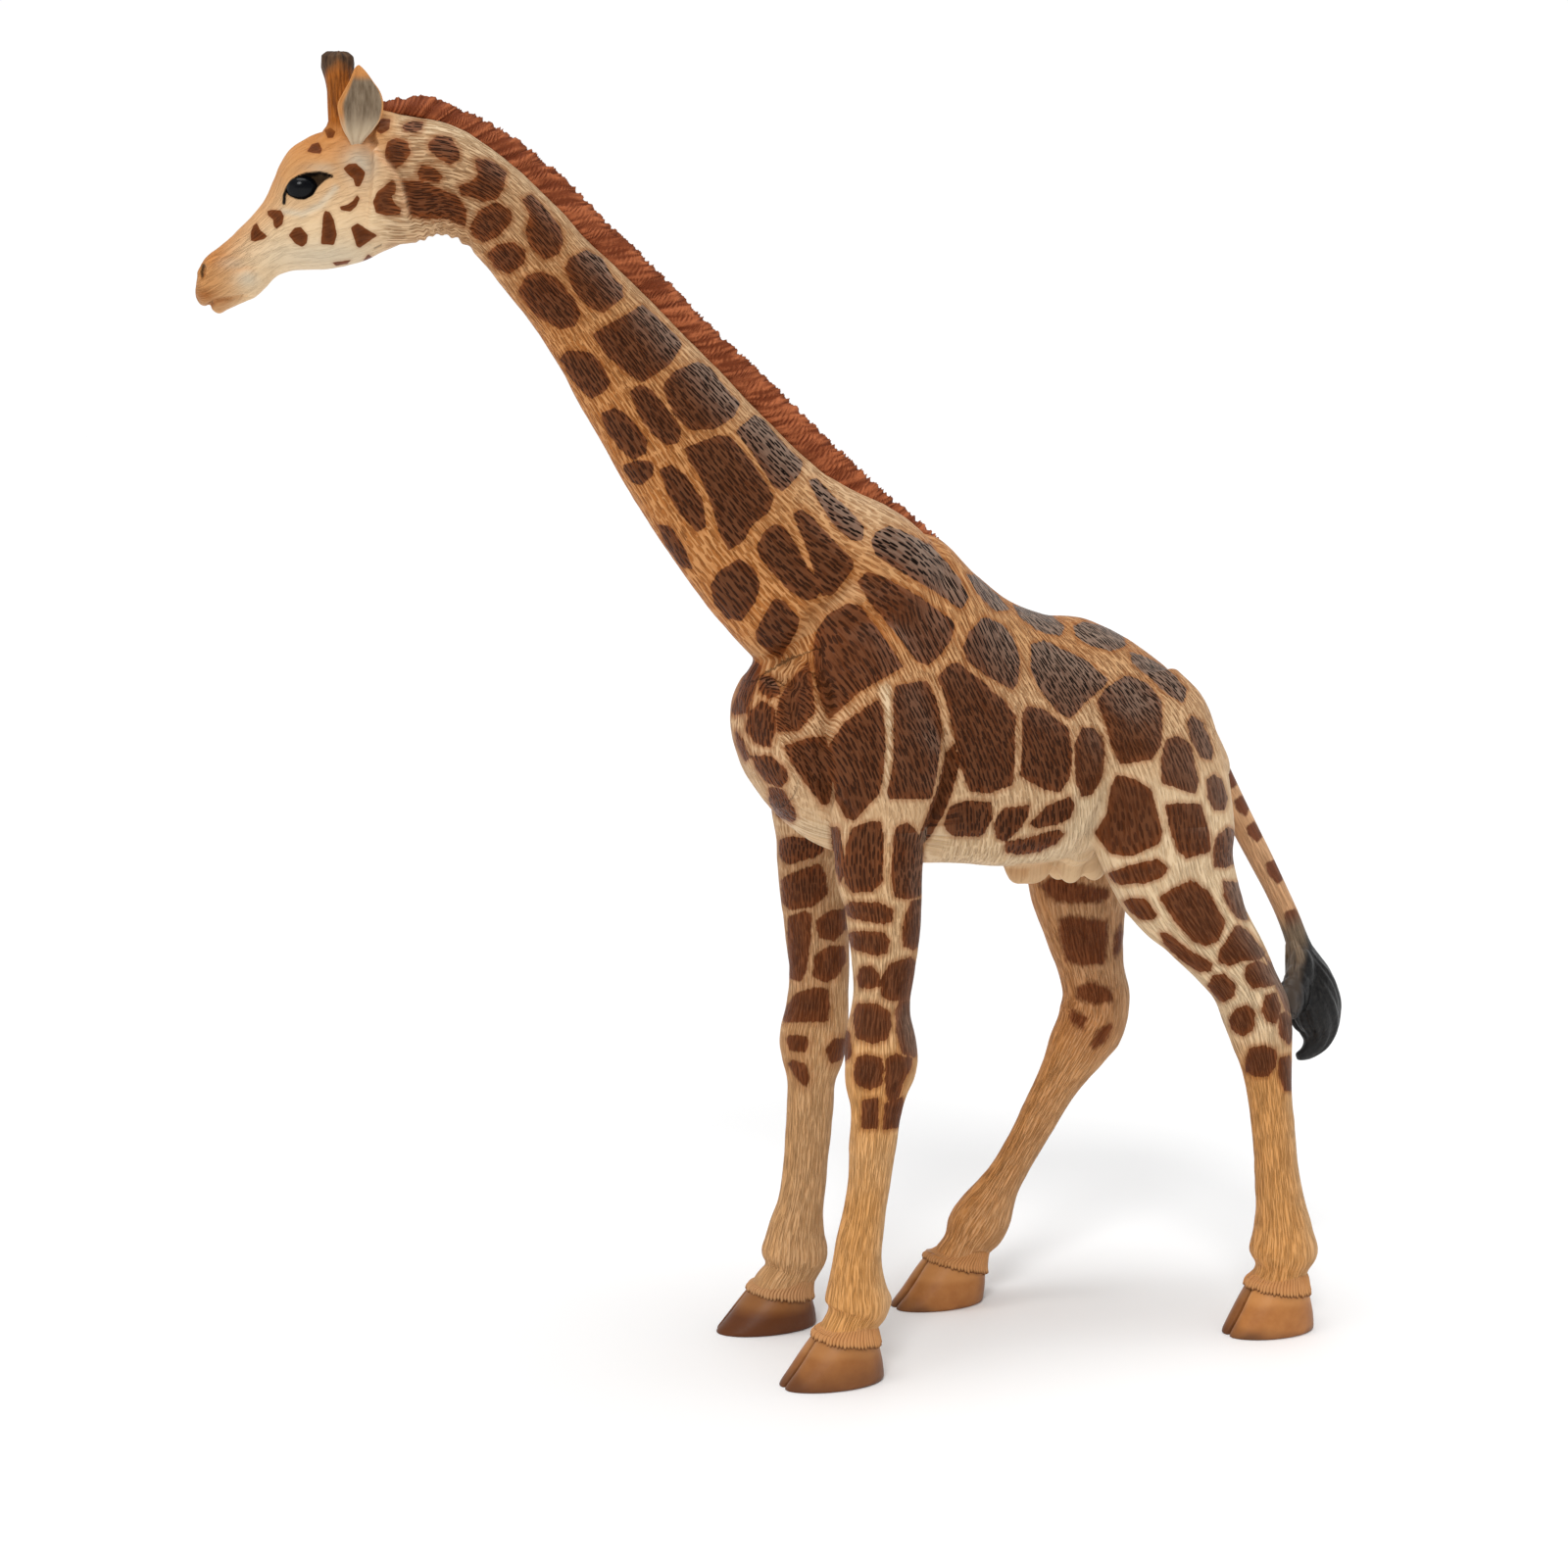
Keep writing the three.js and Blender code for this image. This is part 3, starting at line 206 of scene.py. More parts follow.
COAT_BODY = [
    [(17.9, 129.4), (18.6, 130.6), (20.9, 131.5), (24.7, 130.0), (28.2, 128.3), (31.0, 125.5), (33.1, 123.0), (34.7, 120.1), (33.5, 118.6), (28.9, 121.5), (24.0, 124.1), (18.6, 127.3)],
    [(15.5, 123.1), (16.9, 124.5), (19.9, 123.6), (26.1, 120.4), (32.3, 116.2), (31.7, 113.7), (30.0, 111.6), (27.8, 109.8), (25.9, 110.5), (22.0, 115.2), (17.9, 119.6)],
    [(10.2, 118.0), (13.9, 119.7), (15.9, 119.1), (17.9, 116.6), (20.7, 113.1), (23.1, 109.6), (20.7, 108.5), (15.9, 106.2), (12.9, 103.9), (10.7, 102.1), (9.5, 104.0), (8.3, 108.3), (7.9, 113.2), (8.7, 115.9)],
    [(2.2, 105.5), (4.5, 108.5), (7.0, 110.8), (7.4, 108.4), (8.0, 103.2), (5.2, 100.4), (1.8, 100.4), (1.7, 103.1)],
    [(34.2, 112.4), (35.2, 114.5), (37.7, 116.9), (40.9, 115.6), (42.9, 113.4), (44.2, 110.2), (43.8, 106.4), (43.0, 105.4), (38.8, 107.5), (34.6, 110.5)],
    [(29.6, 107.6), (31.8, 109.7), (33.2, 109.6), (37.4, 106.6), (42.1, 102.7), (43.5, 100.7), (43.2, 90.0), (39.0, 88.8), (35.5, 89.4), (33.7, 93.6), (32.4, 99.3), (31.1, 104.4)],
    [(46.5, 112.3), (48.8, 112.7), (53.2, 110.8), (56.8, 109.1), (60.5, 106.1), (59.5, 104.9), (56.2, 102.7), (53.7, 100.3), (51.8, 101.0), (48.2, 105.0), (46.5, 108.2)],
    [(45.0, 101.3), (45.7, 102.3), (48.9, 101.5), (53.3, 98.4), (54.0, 94.5), (53.7, 90.7), (52.0, 88.4), (49.1, 88.9), (44.7, 91.2), (45.0, 96.2)],
    [(54.7, 95.8), (55.9, 98.3), (57.7, 98.2), (59.6, 96.8), (60.2, 94.2), (59.7, 90.4), (57.9, 87.6), (56.1, 87.4), (54.9, 90.0)],
    [(58.8, 102.6), (60.6, 104.8), (64.2, 106.6), (68.0, 105.2), (70.8, 102.2), (70.9, 95.0), (69.0, 92.8), (63.4, 92.3), (61.5, 95.5), (60.3, 99.4)],
    [(34.5, 123.9), (36.2, 123.4), (40.1, 120.2), (42.1, 118.1), (39.8, 118.1), (36.7, 120.7)],
    [(43.0, 118.7), (45.8, 118.0), (49.5, 117.1), (52.2, 115.0), (51.7, 113.8), (48.0, 114.5), (44.4, 116.8)],
    [(54.2, 114.9), (56.0, 115.6), (59.7, 114.7), (63.0, 113.4), (63.8, 111.7), (61.2, 111.0), (57.5, 111.9), (54.9, 113.3)],
    [(64.9, 110.4), (67.2, 109.7), (70.2, 108.3), (73.2, 106.3), (75.5, 103.9), (75.0, 102.0), (71.8, 103.7), (68.0, 106.8), (65.3, 108.8)],
    [(76.0, 98.4), (76.8, 99.4), (78.7, 98.3), (80.9, 93.9), (80.6, 92.2), (78.8, 92.7), (77.1, 95.1)],
    [(71.2, 92.4), (71.9, 95.6), (74.2, 96.2), (76.5, 94.8), (78.1, 88.8), (77.8, 86.7), (75.1, 87.5), (71.4, 88.8)],
    [(58.7, 81.1), (60.9, 83.9), (61.6, 88.4), (62.7, 90.4), (66.0, 89.4), (69.1, 87.6), (71.3, 80.7), (70.7, 78.7), (65.5, 77.0), (61.8, 77.5)],
    [(72.0, 84.9), (75.5, 85.0), (78.8, 84.5), (80.6, 79.5), (80.8, 76.8), (76.5, 75.9), (74.6, 77.2), (73.0, 81.2)],
    [(80.0, 88.7), (81.2, 89.4), (82.7, 88.6), (83.9, 85.5), (83.4, 83.6), (81.7, 83.7), (80.3, 85.7)],
    [(81.5, 76.1), (81.8, 78.7), (84.4, 80.6), (85.7, 79.2), (85.8, 74.5), (83.8, 73.8), (81.9, 74.2)],
    [(61.3, 74.1), (64.8, 75.1), (70.8, 75.9), (72.5, 74.4), (71.6, 73.1), (68.6, 72.3), (63.7, 72.3), (62.0, 73.1)],
    [(71.4, 69.5), (73.5, 70.7), (77.3, 71.9), (80.4, 69.9), (84.0, 64.3), (82.6, 61.4), (80.3, 60.8), (77.5, 62.1), (74.0, 65.7)],
    [(83.7, 71.3), (86.5, 70.9), (87.9, 67.0), (88.3, 64.7), (86.5, 65.1), (84.8, 67.2), (83.9, 68.6)],
    [(64.3, 69.3), (65.3, 69.7), (68.3, 69.4), (70.6, 66.6), (69.8, 66.0), (67.2, 66.4), (65.5, 67.9)],
    [(71.4, 63.6), (72.9, 63.3), (76.4, 60.5), (81.5, 57.6), (81.3, 56.5), (79.2, 56.5), (74.9, 59.3), (72.2, 61.9)],
    [(83.0, 59.4), (86.4, 63.7), (88.4, 62.6), (92.0, 58.7), (91.2, 57.7), (87.3, 57.7), (85.0, 57.0), (83.0, 58.0)],
    [(88.3, 54.9), (88.5, 56.6), (90.8, 57.3), (92.8, 56.1), (94.3, 53.1), (92.1, 52.9), (89.8, 52.8)],
    [(91.7, 48.6), (92.6, 51.2), (94.5, 51.4), (95.4, 48.9), (94.7, 46.3), (93.1, 46.8)],
    [(92.0, 58.3), (95.2, 55.0), (98.4, 50.0), (98.5, 47.3), (96.6, 48.5), (94.9, 52.0)],
    [(95.4, 47.6), (96.6, 48.0), (98.5, 45.9), (98.7, 43.9), (97.3, 42.5), (95.5, 44.2)],
    [(81.0, 53.8), (81.9, 55.4), (84.2, 55.5), (86.2, 53.4), (86.0, 51.7), (84.0, 50.9), (82.4, 52.1)],
    [(85.4, 47.8), (86.3, 49.2), (88.7, 49.8), (90.3, 48.4), (90.1, 45.7), (88.0, 44.7), (85.9, 46.0)],
    [(88.9, 40.7), (89.6, 42.3), (92.4, 42.5), (94.6, 41.5), (94.9, 39.1), (93.3, 37.3), (90.5, 37.5), (88.9, 38.6)],
    [(95.5, 37.3), (95.6, 40.1), (97.7, 40.2), (98.1, 37.1), (98.2, 34.4), (96.7, 34.4)],
    [(30.9, 84.3), (32.0, 86.8), (34.8, 87.6), (39.1, 87.1), (39.3, 84.5), (37.7, 82.0), (32.7, 82.2), (31.3, 83.3)],
    [(39.9, 83.8), (41.6, 85.9), (46.2, 86.3), (45.9, 84.4), (44.1, 82.3), (42.0, 80.8), (40.4, 81.5)],
    [(46.6, 83.4), (49.9, 86.1), (53.9, 87.2), (54.6, 85.8), (53.9, 83.9), (51.4, 83.1), (47.7, 82.6)],
    [(42.0, 79.2), (42.3, 80.6), (46.3, 80.9), (51.4, 82.0), (52.7, 81.3), (51.4, 79.9), (47.8, 78.7), (44.2, 78.6)],
    [(10.5, 97.5), (13.2, 101.1), (19.0, 104.4), (19.7, 102.4), (20.2, 98.0), (19.8, 92.4), (19.1, 89.7), (15.0, 85.9), (13.6, 86.2), (11.9, 89.1), (11.2, 92.9)],
    [(21.8, 104.1), (22.1, 106.5), (27.3, 107.1), (29.0, 104.5), (30.2, 100.0), (29.9, 96.9), (29.1, 91.3), (28.4, 88.5), (21.1, 88.9), (20.8, 89.9), (21.8, 93.6), (22.0, 99.8)],
    [(3.0, 97.9), (6.8, 98.9), (9.9, 99.0), (10.5, 96.6), (11.1, 92.9), (10.6, 88.9), (9.5, 88.5), (7.5, 90.9), (4.2, 95.4)],
    [(31.2, 95.6), (32.6, 96.8), (33.3, 93.6), (32.1, 89.3), (30.4, 85.6), (28.3, 82.6), (27.1, 81.4), (26.5, 82.4), (28.3, 86.7), (30.0, 90.7)],
    [(13.6, 81.6), (14.6, 84.3), (17.0, 85.1), (19.4, 85.2), (19.9, 83.1), (19.8, 75.6), (18.1, 74.3), (14.7, 74.3), (13.4, 76.0), (13.3, 79.1)],
    [(22.1, 83.9), (24.3, 84.7), (27.0, 82.0), (26.9, 78.3), (26.8, 73.2), (24.7, 72.6), (22.2, 73.1), (21.6, 76.7)],
    [(13.3, 71.9), (14.3, 72.6), (19.5, 72.1), (21.7, 70.9), (21.5, 69.2), (20.2, 68.9), (14.3, 70.3)],
    [(14.0, 67.5), (15.0, 67.9), (20.2, 67.4), (21.1, 66.0), (20.6, 64.2), (18.9, 63.9), (14.7, 65.4)],
    [(23.6, 66.5), (24.0, 69.6), (25.1, 72.1), (26.7, 72.3), (27.0, 68.8), (26.6, 65.0), (25.5, 64.3), (23.8, 65.1)],
    [(15.6, 60.5), (16.1, 61.9), (17.8, 62.2), (19.2, 60.8), (19.4, 58.9), (17.8, 58.7), (16.1, 59.0)],
    [(19.9, 60.1), (21.3, 62.2), (25.1, 63.0), (25.8, 61.9), (25.3, 57.5), (24.6, 56.2), (21.3, 56.5), (19.9, 57.3)],
    [(14.9, 54.5), (15.6, 56.2), (18.5, 56.1), (21.0, 54.6), (21.5, 52.4), (20.7, 50.2), (18.2, 49.7), (15.4, 51.0)],
    [(22.4, 54.5), (23.1, 56.0), (24.7, 55.9), (25.2, 53.0), (26.2, 48.4), (25.9, 46.9), (23.8, 47.4), (22.7, 50.7)],
    [(15.1, 45.0), (15.5, 47.5), (17.2, 47.8), (19.8, 47.1), (20.1, 45.2), (19.9, 42.9), (17.9, 42.3), (15.5, 43.4)],
    [(20.8, 46.9), (22.4, 47.5), (25.2, 46.5), (25.0, 45.0), (23.6, 42.9), (22.9, 40.4), (21.2, 40.1), (20.6, 43.8)],
    [(-2.5, 111.3), (-1.1, 110.5), (-2.1, 107.5), (-3.5, 103.6), (-5.4, 103.3), (-5.9, 104.0), (-4.0, 108.5)],
    [(-0.9, 109.0), (0.8, 108.6), (2.2, 106.3), (0.2, 105.6), (-1.3, 106.9)],
    [(-3.1, 103.3), (-0.8, 105.0), (1.2, 103.7), (1.3, 100.7), (0.4, 98.0), (-2.1, 98.9), (-3.5, 100.9)],
    [(-2.5, 96.6), (0.5, 96.5), (3.2, 94.2), (3.3, 92.7), (2.2, 91.6), (-0.2, 92.8), (-1.8, 94.8)],
    [(-5.3, 100.7), (-4.5, 99.7), (-3.1, 96.5), (-3.7, 96.1), (-5.0, 98.6)],
    [(0.4, 91.6), (2.5, 91.2), (4.5, 88.0), (4.8, 86.8), (4.2, 86.1), (1.8, 87.2), (0.5, 89.4)],
    [(11.0, 84.7), (12.1, 84.7), (12.9, 81.0), (13.2, 77.6), (12.5, 76.1), (11.5, 79.2)],
    [(16.6, 40.5), (19.3, 40.6), (19.2, 35.8), (16.6, 36.1)],
    [(20.6, 39.7), (23.7, 40.2), (23.4, 35.7), (20.4, 35.5)],
    [(13.0, 52.5), (14.2, 51.7), (14.4, 47.9), (13.2, 47.4)],
]
COAT_FORE = [
    [(2.0, 84.2), (3.2, 85.6), (7.2, 85.5), (9.2, 84.3), (9.6, 81.2), (8.2, 80.4), (3.2, 79.5), (2.2, 81.1)],
    [(2.4, 77.0), (4.5, 78.1), (8.9, 79.1), (9.9, 77.2), (10.2, 74.3), (7.9, 72.6), (3.8, 72.3), (2.6, 73.6)],
    [(3.6, 71.1), (6.2, 71.8), (7.4, 71.4), (7.3, 67.7), (6.5, 62.1), (5.5, 60.8), (3.8, 61.4), (3.6, 66.1)],
    [(8.4, 70.1), (10.6, 71.5), (13.3, 71.6), (13.5, 68.5), (11.3, 66.8), (8.9, 67.6)],
    [(8.2, 64.5), (10.6, 65.9), (13.3, 65.7), (13.5, 63.5), (12.0, 61.1), (9.9, 60.3), (7.9, 61.4)],
    [(2.9, 56.2), (4.8, 58.8), (8.2, 59.5), (10.3, 59.0), (10.6, 56.2), (10.3, 54.0), (2.9, 54.6)],
    [(3.3, 51.8), (3.8, 52.3), (6.5, 51.8), (7.2, 50.7), (6.4, 49.5), (3.8, 50.0)],
    [(3.6, 47.7), (4.5, 48.2), (6.5, 47.4), (7.1, 45.1), (6.7, 43.9), (5.5, 44.8)],
    [(10.2, 49.3), (11.3, 50.9), (13.4, 50.9), (13.8, 48.9), (12.7, 47.6), (11.0, 47.3)],
]
COAT_HIND = [
    [(48.4, 73.3), (50.8, 74.3), (54.1, 73.3), (61.1, 71.8), (61.5, 70.5), (60.0, 69.6), (56.0, 69.6), (51.5, 70.2), (49.7, 71.3)],
    [(52.0, 67.3), (54.1, 67.6), (61.2, 66.4), (61.3, 63.0), (60.8, 59.2), (56.9, 59.1), (53.4, 60.2), (52.4, 63.7)],
    [(55.3, 55.5), (58.2, 56.5), (62.0, 54.9), (62.5, 52.8), (59.2, 52.5), (55.8, 53.8)],
    [(54.4, 52.2), (57.7, 50.6), (56.9, 48.6), (54.4, 50.1)],
    [(58.3, 45.8), (59.6, 48.0), (62.2, 49.2), (62.5, 48.4), (61.2, 46.2), (59.3, 45.0)],
    [(62.4, 61.0), (62.6, 63.9), (63.7, 65.4), (64.4, 64.1), (63.9, 61.5), (62.8, 60.1)],
    [(46.3, 83.4), (52.1, 84.4), (58.0, 82.7), (58.8, 78.8), (53.6, 76.5), (47.8, 78.2)],
    [(60.9, 83.2), (66.9, 82.2), (68.5, 76.9), (63.3, 74.3), (60.3, 78.1)],
]
COAT_TAIL = [
    [(83.5, 89.8), (84.4, 90.1), (85.6, 87.8), (84.7, 87.3)],
    [(85.7, 84.8), (86.8, 85.5), (88.1, 83.7), (87.7, 82.5), (86.3, 83.4)],
    [(88.2, 80.3), (89.4, 80.9), (90.8, 78.7), (90.1, 77.9), (88.5, 79.3)],
    [(92.2, 73.8), (93.7, 74.2), (95.2, 71.2), (94.4, 70.5), (92.6, 72.4)],
    [(96.2, 65.1), (97.9, 65.5), (100.1, 62.1), (101.2, 59.5), (98.7, 60.3), (96.6, 63.0)],
]

# Patches on the chest's and the rump's end, (|y|, z).
COAT_CHEST = [
    [(1.4, 107.2), (4.0, 108.6), (6.6, 106.2), (6.0, 102.7), (2.4, 102.2)], [(7.6, 105.6), (10.2, 106.0), (11.6, 102.4), (10.4, 99.2), (7.4, 100.4)],
    [(1.0, 100.5), (4.6, 101.0), (6.0, 97.6), (4.6, 94.6), (1.2, 95.4)], [(6.9, 98.3), (9.8, 97.2), (10.8, 93.0), (8.2, 91.2), (6.1, 94.0)],
    [(0.8, 93.6), (3.8, 93.0), (5.2, 90.0), (3.0, 87.6), (0.8, 88.6)], [(6.6, 89.5), (9.6, 89.8), (10.0, 86.4), (7.0, 86.0)],
]
COAT_RUMP = [
    [(2.6, 104.4), (6.2, 106.0), (9.0, 103.2), (7.6, 99.4), (3.6, 99.6)], [(9.8, 100.6), (12.8, 101.2), (13.6, 96.0), (11.0, 94.4), (9.0, 97.0)],
    [(3.4, 97.4), (7.8, 97.6), (8.6, 92.0), (5.6, 90.0), (3.2, 92.2)], [(9.8, 92.6), (12.6, 92.8), (13.2, 87.0), (10.6, 86.0), (8.8, 88.4)],
    [(2.6, 88.0), (6.6, 88.2), (7.6, 84.0), (4.6, 82.4), (2.4, 84.0)],
]
PALE_LINE = [(12.4, 107.6), (12.7, 102.9), (12.4, 100.1), (11.7, 96.4), (12.2, 91.6)]
# Lines of the face, (distance along the nose, height), on both cheeks.
LASH = [(25.04, 178.6), (24.94, 179.7), (24.6, 180.6), (23.8, 181.6), (22.9, 182.1), (21.9, 182.45), (20.9, 182.6), (19.9, 182.7), (19.0, 182.55), (18.3, 182.3)]
LID = [(24.58, 179.98), (24.07, 179.57), (23.2, 179.14), (22.1, 179.07), (21.0, 179.68), (20.3, 180.8), (19.3, 181.8)]
BROW = [(25.4, 181.6), (24.2, 183.2), (22.1, 184.0), (19.9, 184.2), (17.7, 183.5)]
NOSTRIL = [(36.55, 169.9), (36.8, 169.0), (36.75, 168.3)]
MOUTH = [(36.4, 164.0), (35.6, 164.45), (34.8, 164.85), (33.8, 165.05), (32.6, 165.2), (31.4, 165.4), (30.2, 165.5)]
MUZZLE_FOLD = [(32.0, 169.2), (30.8, 169.9), (29.6, 169.8), (28.9, 168.7), (29.4, 167.5)]
JAW_LINE = [(12.4, 172.5), (11.2, 173.1), (10.0, 174.0)]
JAW_BACK = [(13.2, 187.6), (12.5, 186.7), (11.0, 184.6), (9.2, 182.7), (8.5, 181.1), (8.1, 179.4), (7.6, 177.3), (7.0, 175.8)]
CHEEK = [(24.7, 177.0), (22.3, 177.6), (19.3, 179.1), (17.5, 180.3)]
# Folds of the body, (x, z) on both flanks: line, half width, depth (below zero cuts in), least |y|.
FOLDS = [
    ([(-1.4, 108.7), (1.8, 115.1), (4.0, 120.1), (7.4, 122.7), (11.0, 125.7)], 1.3, -1.1, 2.0),
    ([(1.6, 107.6), (4.6, 113.8), (6.9, 118.0), (10.0, 120.4), (13.0, 122.6)], 1.8, 0.8, 2.0),
    ([(-5.6, 113.4), (-3.5, 111.3), (-1.4, 109.4), (1.1, 108.1)], 0.9, -1.3, 0.0),
    ([(2.1, 114.0), (3.9, 108.7), (4.2, 104.2), (3.4, 97.4), (4.6, 92.0), (6.7, 87.3)], 0.85, -1.0, 4.0),
    ([(7.0, 112.0), (8.5, 105.0), (8.4, 98.0), (9.5, 92.0)], 3.2, 0.6, 5.0),
    ([(21.7, 102.2), (23.2, 99.0), (24.1, 95.2), (22.5, 89.1), (18.9, 83.9)], 0.95, -1.5, 5.0),
    ([(18.6, 100.5), (20.0, 96.0), (19.0, 90.0)], 2.6, 0.7, 5.0),
    ([(48.6, 105.6), (50.3, 101.6), (51.4, 96.8), (52.0, 90.5), (50.9, 84.2), (49.9, 79.5)], 1.3, -0.8, 5.0),
    ([(55.0, 104.0), (56.5, 97.0), (57.0, 89.0)], 4.0, 0.6, 6.0),
    ([(-0.5, 108.3), (-0.9, 103.0), (1.2, 96.7), (5.4, 90.3), (8.8, 86.7)], 0.8, -0.8, 2.5),
]


# ---------------------------------------------------------------- numbers
def unit(v):
    return v / np.linalg.norm(v, axis=-1, keepdims=True)


def smoothstep(a, b, x):
    t = np.clip((x - a) / (b - a), 0.0, 1.0)
    return t * t * (3 - 2 * t)


def resample(rows, n):
    """Rows through a smooth curve, n of them, evenly spaced over all their columns."""
    y = np.array(rows, float)
    t = np.r_[0, np.cumsum(np.linalg.norm(np.diff(y, axis=0), axis=1))]
    dt = np.diff(t)[:, None]
    d = np.diff(y, axis=0) / dt
    m = np.empty_like(y)
    m[1:-1] = (d[:-1] * dt[1:] + d[1:] * dt[:-1]) / (dt[:-1] + dt[1:])
    m[0], m[-1] = d[0], d[-1]
    q = np.linspace(0, t[-1], n)
    i = np.clip(np.searchsorted(t, q, "right") - 1, 0, len(t) - 2)
    h, s = dt[i], ((q - t[i]) / dt[i, 0])[:, None]
    return (2 * s**3 - 3 * s**2 + 1) * y[i] + (s**3 - 2 * s**2 + s) * h * m[i] + (3 * s**2 - 2 * s**3) * y[i + 1] + (s**3 - s**2) * h * m[i + 1]


def frames(P):
    """Tangent, sideways and outward directions along a path."""
    T = unit(np.gradient(P, axis=0))
    S = unit(np.array([0.0, 1.0, 0.0]) - T * T[:, 1:2])
    return T, S, np.cross(S, T)


def rings(P, S, N, a, b, sides, power=2.0, skew=0.0):
    phi = np.linspace(0, 2 * math.pi, sides, endpoint=False)
    c, s = np.cos(phi), np.sin(phi)
    cc, ss = np.sign(c) * np.abs(c) ** (2 / power), np.sign(s) * np.abs(s) ** (2 / power)
    return P[:, None] + S[:, None] * (b[:, None] * cc * (1 - skew * ss))[..., None] + N[:, None] * (a[:, None] * ss)[..., None]


def skin(R):
    """Closed skin over rows of rings: vertices and faces, facing out."""
    n, m = R.shape[:2]
    V = np.concatenate([R.reshape(-1, 3), R[0].mean(0)[None], R[-1].mean(0)[None]])
    i, j = (np.arange(n - 1) * m)[:, None], np.arange(m)[None]
    k = (j + 1) % m
    Q = np.stack([i + j, i + k, i + m + k, i + m + j], -1).reshape(-1, 4)
    j, k = np.arange(m), (np.arange(m) + 1) % m
    A = np.stack([np.full(m, n * m), k, j], -1)
    B = np.stack([np.full(m, n * m + 1), (n - 1) * m + j, (n - 1) * m + k], -1)
    tri = np.concatenate([Q[:, :3], Q[:, [0, 2, 3]], A, B])
    p = V[tri]
    if np.einsum("ij,ij->i", p[:, 0], np.cross(p[:, 1], p[:, 2])).sum() < 0:
        Q, A, B = Q[:, ::-1], A[:, ::-1], B[:, ::-1]
    return V, Q.tolist() + A.tolist() + B.tolist()


def joined(parts):
    V, F, n = [], [], 0
    for v, f in parts:
        V.append(v)
        F.extend([[x + n for x in q] for q in f])
        n += len(v)
    return np.concatenate(V), F


def head_point(u, side, z):
    u, side, z = np.broadcast_arrays(np.asarray(u, float), side, z)
    return HEAD_AT * [1, 1, 0] + u[..., None] * HEAD_DIR + side[..., None] * HEAD_SIDE + z[..., None] * UP


def head_coords(V):
    d = V - HEAD_AT
    return d @ HEAD_DIR, d @ HEAD_SIDE, V[:, 2]


def ellipsoid(center, axes, radii, seg=48):
    t = np.linspace(0.04, math.pi - 0.04, seg // 2)
    ph = np.linspace(0, 2 * math.pi, seg, endpoint=False)
    p = np.stack([np.sin(t)[:, None] * np.cos(ph), np.sin(t)[:, None] * np.sin(ph), np.broadcast_to(np.cos(t)[:, None], (len(t), seg))], -1)
    return skin(np.array(center) + (p * radii) @ np.array(axes, float))


XYZ = np.eye(3)


def value_noise(P, scale, seed):
    """Smooth noise from 0 to 1 at points P, the same on each run."""
    rng = np.random.RandomState(seed)
    table = rng.rand(4096)
    q = P * scale + 100.0
    i = np.floor(q).astype(np.int64)
    f = q - i
    f = f * f * (3 - 2 * f)
    out = np.zeros(len(P))
    for dx in (0, 1):
        for dy in (0, 1):
            for dz in (0, 1):
                h = ((i[:, 0] + dx) * 73856093 ^ (i[:, 1] + dy) * 19349663 ^ (i[:, 2] + dz) * 83492791) & 4095
                w = np.abs(1 - dx - f[:, 0]) * np.abs(1 - dy - f[:, 1]) * np.abs(1 - dz - f[:, 2])
                out += table[h] * w
    return out


def line_distance(p, line):
    """Distance of 2-D points to a polyline and how far along it they are, 0 to 1."""
    line = np.array(line, float)
    best, along = np.full(len(p), 1e9), np.zeros(len(p))
    seg = np.linalg.norm(np.diff(line, axis=0), axis=1)
    start = np.r_[0, np.cumsum(seg)]
    for i in range(len(line) - 1):
        d = line[i + 1] - line[i]
        t = np.clip(((p - line[i]) @ d) / (d @ d), 0, 1)
        r = np.linalg.norm(p - line[i] - t[:, None] * d, axis=1)
        near = r < best
        best[near] = r[near]
        along[near] = ((start[i] + t * seg[i]) / start[-1])[near]
    return best, along


def grown(poly, by):
    """An outline moved outward, its corners kept."""
    p = np.array(poly, float)
    e = unit(np.roll(p, -1, axis=0) - p)
    n = np.stack([e[:, 1], -e[:, 0]], -1)
    if (p[:, 0] * np.roll(p[:, 1], -1) - np.roll(p[:, 0], -1) * p[:, 1]).sum() < 0:
        n = -n
    m = n + np.roll(n, 1, axis=0)
    return p + by * m * np.minimum(2.0 / np.maximum((m**2).sum(1), 1e-6), 1.6)[:, None]


def rounded(poly, times=1, share=0.07):
    p = np.array(poly, float)
    for _ in range(times):
        q = np.roll(p, -1, axis=0)
        p = np.stack([(1 - share) * p + share * q, share * p + (1 - share) * q], 1).reshape(-1, 2)
    return p


def patch_distance(p, polys, by=0.0, reach=3.0):
    """Signed distance to the nearest patch outline, below zero inside a patch."""
    out = np.full(len(p), reach)
    for poly in polys:
        r = rounded(grown(poly, by))
        near = np.nonzero(((p > r.min(0) - reach) & (p < r.max(0) + reach)).all(1))[0]
        if not len(near):
            continue
        q = p[near]
        d = np.full(len(q), 1e9)
        inside = np.zeros(len(q), bool)
        for a, b in zip(r, np.roll(r, -1, axis=0)):
            e = b - a
            t = np.clip(((q - a) @ e) / (e @ e), 0, 1)
            d = np.minimum(d, np.linalg.norm(q - a - t[:, None] * e, axis=1))
            cross = (a[1] > q[:, 1]) != (b[1] > q[:, 1])
            with np.errstate(divide="ignore", invalid="ignore"):
                inside ^= cross & (q[:, 0] < (b[0] - a[0]) * (q[:, 1] - a[1]) / (b[1] - a[1]) + a[0])
        out[near] = np.minimum(out[near], np.where(inside, -d, d))
    return out


def thrown(V):
    """Where the straight line from EYE_POINT through each vertex meets the plane y = 0."""
    t = -EYE_POINT[1] / (V[:, 1] - EYE_POINT[1])
    return (EYE_POINT + t[:, None] * (V - EYE_POINT))[:, [0, 2]]


